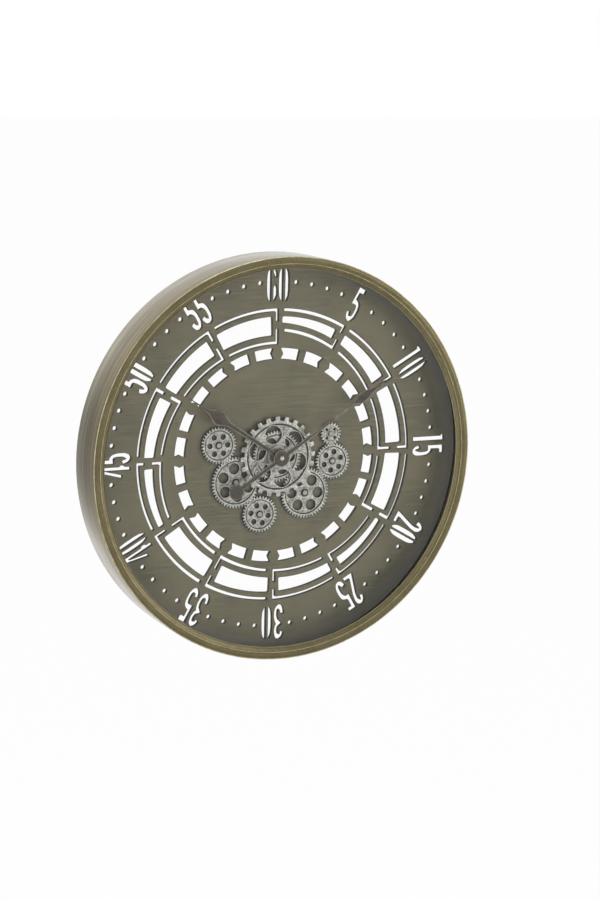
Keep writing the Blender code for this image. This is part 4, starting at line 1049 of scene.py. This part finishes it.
def dress_dial(paint, posts, arbor_at):
    outlines = [circle(DIAL_R, TURN_STEPS)]
    for sector in range(SECTORS):
        outlines.append(window(sector))
        outlines += slit_pair(sector)
        outlines.append(arrow(SECTOR * sector, 1))
        outlines.append(arrow(SECTOR * sector, -1))
        outlines += numeral(str(5 * sector + 5), SECTOR * (sector + 1))
    outlines += dots()
    outlines.append(circle(BUSH_HOLE_R, 32))
    outlines += [circle(POST_R + GAP, 24, at) for at in [*posts.values(), arbor_at]]
    place(paint, "dial_face", plate_mesh(outlines, DIAL_BACK, DIAL_FRONT, CUT_EDGE),
          "dial_bronze", ["dial_plate"])


def dress_posts(paint, posts, arbor_at):
    front = GEAR_FRONT + POST_PROUD
    back = DIAL_BACK - GAP
    post = stepped([(POST_R, front), (FLANGE_R, FLANGE_FRONT), (POST_R, FLANGE_BACK)], back)
    dome = [(0.0, 2.0), (1.3, 1.88), (2.3, 1.5), (2.9, 0.95), (3.05, 0.7),
            (GEAR_HEAD_R, 0.62), (GEAR_HEAD_R, 0.0), (0.0, 0.0)]
    for name, at in posts.items():
        place(paint, "post_of_" + name, turned(post, 32, 0.25), "pale_brass", ["post_" + name],
              at)
    for name, at in {**posts, DRIVEN_GEAR: arbor_at}.items():
        head = moved(turned(dome, 40, 0.4, 3), forward=front + GAP)
        body = "mid_right_wheel" if name == DRIVEN_GEAR else "case"
        place(paint, "head_of_" + name, head, "pale_brass", ["screw_" + name], at, body)


def place_wheel(paint, name, node, edge, gear, back, front, bore_r):
    """Wheel in four finishes: rim and boss, web, dark inlay and bright lips with painted
    highlights.
    """
    step = 360 / gear["holes"]
    middles = [polar(gear["hole_ring"], gear["first"] + step * i)
               for i in range(gear["holes"])]
    rivets = [polar(gear["rivet_ring"], gear["first"] + step * (i + 0.5))
              for i in range(gear["rivets"])]
    meshes = {
        "rim": (rim_mesh(edge, gear, bore_r, back, front), "antique_silver"),
        "web": (web_mesh(gear, middles, rivets, back, front), "web"),
        "inlay": (inlay_mesh(gear, bore_r, front), "patina"),
        "lips": (lips_mesh(gear, middles, front), "worn"),
    }
    for part, (mesh, finish) in meshes.items():
        place(paint, name + "_" + part, mesh, "antique_silver", [node] if part == "rim" else [],
              gear["at"], gear["body"], look=finish)


def dress_gears(paint, gears):
    for name, gear in gears.items():
        bore_r = (HUB_R if name == "center_gear" else POST_R) + GAP
        place_wheel(paint, name, name, gear_edge(gear["teeth"], gear["phase"]), gear,
                    GEAR_BACK, GEAR_FRONT, bore_r)
    place_wheel(paint, "coarse", "coarse_gear", coarse_edge(), COARSE, COARSE_BACK,
                COARSE_FRONT, HUB_R + GAP)

    collar_back = GEAR_FRONT + GAP
    collar_front = COARSE_BACK - GAP
    hub = stepped([(HUB_R, HUB_FRONT), (COLLAR_R, collar_front), (HUB_R, collar_back)],
                  GEAR_BACK, HUB_BORE_R)
    place(paint, "wheel_hub", turned(hub, 64, 0.25), "antique_silver", ["center_hub"],
          body="center_wheel")
    rivet = [(0.0, RIVET_SEAT + 0.45), (1.3, RIVET_SEAT + 0.5), (1.7, RIVET_SEAT + 0.95),
             (3.4, RIVET_SEAT + 1.0), (RIVET_R, RIVET_SEAT + 0.5), (RIVET_R, RIVET_SEAT),
             (RIVET_SHANK_R, RIVET_SEAT), (RIVET_SHANK_R, GEAR_BACK), (0.0, GEAR_BACK)]
    place(paint, "wheel_rivet", turned(rivet, 32, 0.25), "pale_brass", ["gear_rivet"],
          polar(RIVET_FROM_AXIS, RIVET_AT), "center_wheel", look="antique_silver")


def dress_centre(paint):
    sleeve_front = HUB_FRONT + GAP
    sleeve = stepped([(SLEEVE_R, sleeve_front), (SLEEVE_FLANGE_R, FLANGE_FRONT)], FLANGE_BACK,
                     SLEEVE_BORE_R)
    place(paint, "sleeve", turned(sleeve, 48, 0.25), "pale_brass", ["center_sleeve"])
    washer_back = sleeve_front + GAP
    washer_front = washer_back + WASHER_T
    washer = stepped([(WASHER_R, washer_front)], washer_back, WASHER_BORE_R)
    place(paint, "washer", turned(washer, 64, 0.2), "zinc_plate", ["bush_washer"])
    nut_back = washer_front + GAP
    corners = circle(NUT_FLATS / 2 / math.cos(math.pi / 6), 6)
    nut = plate_mesh([corners, circle(BUSH_HOLE_R, 32)], nut_back, nut_back + NUT_T, 0.35, 2)
    place(paint, "nut", nut, "pale_brass", ["bush_nut"])
    gasket_front = DIAL_BACK - GAP
    gasket = stepped([(GASKET_R, gasket_front)], gasket_front - GASKET_T, WASHER_BORE_R)
    place(paint, "gasket", turned(gasket, 48, 0.3), "black_rubber", ["bush_gasket"])

    foot_front = MOVE_FRONT - GAP
    foot_back = foot_front - BUSH_FOOT_T
    bore_r = PIPE_R + 0.4
    bush = [(BUSH_R - 0.6, BUSH_FRONT)]
    for i in range(THREADS):
        crest = BUSH_FRONT - GAP - THREAD_PITCH * i
        bush += [(BUSH_R - 0.02, crest), (BUSH_R - 0.3, crest - THREAD_PITCH / 2)]
    bush += [(BUSH_R, foot_front), (BUSH_FOOT_R, foot_front), (BUSH_FOOT_R, foot_back),
             (bore_r, foot_back), (bore_r, BUSH_FRONT)]
    place(paint, "bush", turned(bush, 48), "pale_brass", ["threaded_bush"])


def dress_hand(paint, name, blade, has_tail, clock, back, bore):
    """Blade of a hand, and the pale border raised on it."""
    front = back + HAND_T
    edge, outer, inner = (spun(hand_edge(blade, has_tail, inset), clock) for inset in INSETS)
    plate = plate_mesh([edge, bore], back, front, HAND_EDGE)
    place(paint, name + "_blade", joined(plate), "dark_bronze", [name + "_hand"], body=name)
    border = plate_mesh([outer, inner], front - 0.1, front + RIM_RISE)
    place(paint, name + "_rim", border, "dark_bronze", body=name, look="rim")


def dress_hands(paint):
    dress_hand(paint, "hour", HOUR_BLADE, False, HOUR_AT, HOUR_BACK, circle(PIPE_R + GAP, 32))
    tip = HOUR_BACK + HAND_T + PIPE_PROUD
    shoulder_front = HOUR_BACK - GAP
    shoulder_back = BUSH_FRONT + 2 * GAP
    pipe = stepped([(PIPE_R, tip), (PIPE_SHOULDER_R, shoulder_front), (PIPE_R, shoulder_back)],
                   SHAFT_BACK, PIPE_BORE_R)
    place(paint, "pipe", turned(pipe, 40, 0.2), "pale_brass", ["hour_pipe"], body="hour")

    bore_r = ARBOR_R + GAP
    dress_hand(paint, "minute", MINUTE_BLADE, True, MINUTE_AT, MINUTE_BACK, circle(bore_r, 24))
    front = MINUTE_BACK + HAND_T
    tip = front + ARBOR_PROUD
    shoulder_front = MINUTE_BACK - GAP
    shoulder_back = shoulder_front - SHOULDER_T
    arbor = stepped([(ARBOR_R, tip), (ARBOR_SHOULDER_R, shoulder_front),
                     (ARBOR_R, shoulder_back)], SHAFT_BACK)
    place(paint, "arbor", turned(arbor, 32, 0.2), "plain_steel", ["minute_arbor"],
          body="minute")
    cap = [(0.0, 2.8), (1.5, 2.65), (2.7, 2.05), (3.4, 1.2), (CAP_R, 0.5), (CAP_R, 0.0),
           (bore_r, 0.0), (bore_r, ARBOR_PROUD), (0.0, ARBOR_PROUD)]
    place(paint, "cap", moved(turned(cap, 48, 0.3, 3), forward=front + GAP), "cap_nickel",
          ["hand_cap"], body="minute")


def dress_movement(paint):
    """Movement case as a floor and a wall round the cell's bay, its lid and setting knob."""
    half = MOVE_SIDE / 2
    bay_v = BAY_WALL + BAY_H / 2 - half
    outline = rounded(rectangle(MOVE_SIDE, MOVE_SIDE), HOUSING_CORNER_R, 6)
    floor = MOVE_FRONT - BAY_FLOOR
    base = plate_mesh([outline, circle(BUSH_FOOT_R + 0.4, 40)], floor, MOVE_FRONT,
                      HOUSING_EDGE)
    wall = plate_mesh([outline, rectangle(BAY_W, BAY_H, (0.0, bay_v)),
                       circle(KNOB_SHAFT_R + 0.4, 24, KNOB_AT)],
                      MOVE_BACK, floor, HOUSING_EDGE)
    place(paint, "movement_housing", joined(base, wall), "black_plastic", ["movement_case"])

    low = bay_v + BAY_H / 2 + COVER_EDGE
    lid_outline = rectangle(MOVE_SIDE, half - low, (0.0, (low + half) / 2))
    lid_front = MOVE_BACK - GAP
    lid_back = lid_front - COVER_T
    lid = plate_mesh([rounded(lid_outline, HOUSING_CORNER_R, 6),
                      circle(KNOB_SHAFT_R + GAP, 24, KNOB_AT)],
                     lid_back, lid_front, HOUSING_EDGE)
    place(paint, "movement_lid", joined(lid), "black_plastic", ["movement_cover"])

    knob_front = lid_back - GAP
    knob_back = knob_front - KNOB_H
    knurls = 36
    edge = [polar(KNOB_R - 0.5 * (i % 2), 180 * i / knurls) for i in range(2 * knurls)]
    ring = stepped([(KNOB_R - 1.8, knob_back + 0.7)], knob_back, KNOB_R - 2.8)
    shaft = stepped([(KNOB_SHAFT_R, KNOB_SHAFT_FRONT)], knob_front - 0.1)
    knob = joined(plate_mesh([edge], knob_back, knob_front, 0.3), turned(ring, 40, 0.2),
                  turned(shaft, 24))
    place(paint, "setting_knob", knob, "grey_plastic", ["time_set_knob"], KNOB_AT, "set_knob")


def dress_cells(paint):
    """Round cells with a rolled seam at each end and a nub, each turned as it lies."""
    half = CELL_LEN / 2
    profile = [(0.0, half + NUB_LEN), (NUB_R, half + NUB_LEN), (NUB_R, half + 0.2),
               (CELL_R - 1.4, half), (CELL_R - 0.7, half - 0.1), (CELL_R, half - 0.6),
               (CELL_R, half - 1.6), (CELL_R - 0.15, half - 1.9), (CELL_R, half - 2.2),
               (CELL_R, 1.0 - half), (CELL_R - 0.6, -half), (CELL_R - 3.6, -half),
               (CELL_R - 3.9, 0.3 - half), (0.0, 0.3 - half)]
    for name, turn in (("clock_cell", 0.0), ("drive_cell_left", 90.0),
                       ("drive_cell_right", -90.0)):
        mesh = turned(profile, 48, 0.35)
        mesh.transform(Matrix.Rotation(math.pi / 2, 4, "Y"))
        low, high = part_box(name)
        middle = (low + high) / 2 / MM
        at = polar(-NUB_LEN / 2, turn, (middle.x, middle.z))
        place(paint, name + "_sleeve", mesh, "cell_jacket", [name], at, depth=middle.y, turn=turn)


def screw_head(level):
    """Pan head that looks backwards, with a cross recess and its underside at a level."""
    profile = [(0.0, SCREW_HEAD_H), (SCREW_HEAD_R * 0.72, SCREW_HEAD_H * 0.92),
               (SCREW_HEAD_R, SCREW_HEAD_H * 0.45), (SCREW_HEAD_R, 0.0), (0.0, 0.0)]
    slot = (SCREW_HEAD_R * 1.05, SCREW_HEAD_R * 0.28)
    bars = [plate_mesh([rectangle(*size)], SCREW_HEAD_H * 0.45, SCREW_HEAD_H * 2)
            for size in (slot, slot[::-1])]
    head = cut_mesh(joined(turned(profile, 32, 0.6, 3)), *bars)
    head.transform(Matrix.Translation((0.0, 0.0, level)) @ Matrix.Scale(-1, 4, (0, 0, 1)))
    return head


def dress_screws(paint):
    names = [f"dial_screw_{i}" for i in range(1, 5)] + ["drive_screw_1", "drive_screw_2"]
    for name in names:
        low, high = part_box(name)
        at = ((low.x + high.x) / 2 / MM, (low.z + high.z) / 2 / MM)
        tip = DIAL_Y - low.y / MM
        under_head = DIAL_Y - high.y / MM + SCREW_HEAD_H
        shank = [(0.0, tip), (0.9, tip), (SCREW_SHANK_R, tip - 0.9),
                 (SCREW_SHANK_R, under_head - 0.1), (0.0, under_head - 0.1)]
        mesh = joined(screw_head(under_head), turned(shank, 24, 0.2))
        place(paint, name + "_turned", mesh, "zinc_plate", [name], at)


def carried(frame, finish, *nodes, edge=0.25):
    """CAD nodes that stay: a better finish and softened edges."""
    for name in nodes:
        node = frame["nodes"][name]
        if not node.material_slots:
            node.data.materials.append(finish)
        for slot in node.material_slots:
            slot.link = "OBJECT"
            slot.material = finish
        soft = node.modifiers.new("soft_edges", "BEVEL")
        soft.width = edge * MM
        soft.segments = 2
        soft.limit_method = "ANGLE"
        soft.angle_limit = math.radians(BEVEL_ANGLE)


# Stage

def larger(tree, first, second):
    return calculated(tree, "MAXIMUM", first, second)


def towards(tree, direction, aim):
    """Cosine of the angle between a direction and an aim."""
    return add(tree, "VectorMath", {0: direction, 1: Vector(aim).normalized()},
               operation="DOT_PRODUCT").outputs["Value"]


def surroundings(tree, direction):
    """Who sees the room as it is, and how bright it is.

    It is white to the camera and through the pane.  In metal it is dimmer in front of the
    clock and in one grey corner behind it."""
    path = add(tree, "LightPath")
    camera_ray, glossy_ray, through_ray = (
        path.outputs[kind] for kind in ("Is Camera Ray", "Is Glossy Ray", "Is Transmission Ray"))
    seen = larger(tree, larger(tree, camera_ray, glossy_ray), through_ray)
    front = spread(tree, towards(tree, direction, ROOM_FRONT), -0.2, 1.0, 1.0, 0.62)
    corner = spread(tree, towards(tree, direction, GREY_CORNER), 0.93, 0.995, 1.0, 0.42)
    level = larger(tree, times(tree, front, corner), camera_ray)
    return seen, level


def build_world():
    """A white room to look at, and a plain soft grey as light."""
    world = bpy.data.worlds.new("studio")
    bpy.context.scene.world = world
    world.use_nodes = True
    tree = world.node_tree
    tree.nodes.clear()
    seen, level = surroundings(tree, add(tree, "TexCoord").outputs["Generated"])
    white = (1.0, 1.0, 1.0, 1.0)
    soft = add(tree, "Background", {"Color": white, "Strength": SOFT_LIGHT})
    room = add(tree, "Background", {"Color": white, "Strength": level})
    both = add(tree, "MixShader", {0: seen, 1: soft.outputs[0], 2: room.outputs[0]})
    add(tree, "OutputWorld", {0: both.outputs[0]})


def build_floor():
    """Pale floor well below the hanging clock; it is white to the camera but for shadows."""
    made, tree, coords = new_material("floor_paint")
    grain = noise(tree, coords.outputs["Object"], 3.0, 3.0, 0.5)
    colour = mix_colour(tree, grain, (0.90, 0.90, 0.90), (0.96, 0.96, 0.96))
    matt = add(tree, "BsdfDiffuse", {"Color": colour})
    position = add(tree, "NewGeometry").outputs["Position"]
    direction = add(tree, "VectorMath", {0: position}, operation="NORMALIZE")
    seen, level = surroundings(tree, direction.outputs[0])
    glow = add(tree, "Emission", {"Color": (1.0, 1.0, 1.0, 1.0), "Strength": level})
    both = add(tree, "MixShader", {0: times(tree, seen, FLOOR_GLOW), 1: matt.outputs[0],
                                   2: glow.outputs[0]})
    add(tree, "OutputMaterial", {0: both.outputs[0]})
    mesh = bpy.data.meshes.new("floor")
    side_len = 2 * FLOOR_HALF
    mesh.from_pydata([(u, v, 0.0) for u, v in rectangle(side_len, side_len)], [],
                     [(0, 1, 2, 3)])
    mesh.materials.append(made)
    floor = new_object("floor", mesh)
    floor.location.z = FLOOR_LEVEL


def lamp(name, place_at, size, power):
    """Soft box that looks at the middle of the clock."""
    data = bpy.data.lights.new(name, "AREA")
    data.shape = "SQUARE"
    data.size = size
    data.energy = power
    made = new_object(name, data)
    made.location = place_at
    made.rotation_euler = (-Vector(place_at)).to_track_quat("-Z", "Y").to_euler()


def build_camera():
    data = bpy.data.cameras.new("camera")
    data.lens = LENS
    data.clip_start = 0.05
    data.clip_end = 100.0
    made = new_object("camera", data)
    back = Vector(CAMERA_RIGHT).cross(Vector(CAMERA_UP))
    turn = Matrix((CAMERA_RIGHT, CAMERA_UP, back)).transposed().to_4x4()
    made.matrix_world = Matrix.Translation(CAMERA_AT) @ turn
    bpy.context.scene.camera = made


def main():
    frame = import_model()
    bpy.context.scene.view_settings.view_transform = "Standard"
    paint = finishes()
    gears = gear_table()
    posts = {name: gear["at"] for name, gear in gears.items()
             if name not in ("center_gear", DRIVEN_GEAR)}
    arbor_at = gears[DRIVEN_GEAR]["at"]

    dress_case(paint)
    dress_dial(paint, posts, arbor_at)
    dress_posts(paint, posts, arbor_at)
    dress_gears(paint, gears)
    dress_centre(paint)
    dress_hands(paint)
    dress_movement(paint)
    dress_cells(paint)
    dress_screws(paint)
    tabs = [f"dial_tab_{i}" for i in range(1, 5)]
    carried(frame, paint["plain_steel"], "hanger_plate", "drive_arbor", *tabs)
    carried(frame, paint["zinc_plate"], "clock_contact_left", "clock_contact_right",
            "drive_contact_left", "drive_contact_right", "drive_bridge", edge=0.1)
    carried(frame, paint["black_plastic"], "drive_case", edge=0.4)
    carried(frame, paint["grey_plastic"], "drive_switch", edge=0.3)

    build_world()
    build_floor()
    for name, (place_at, size, power) in LAMPS.items():
        lamp(name, place_at, size, power)
    build_camera()


main()
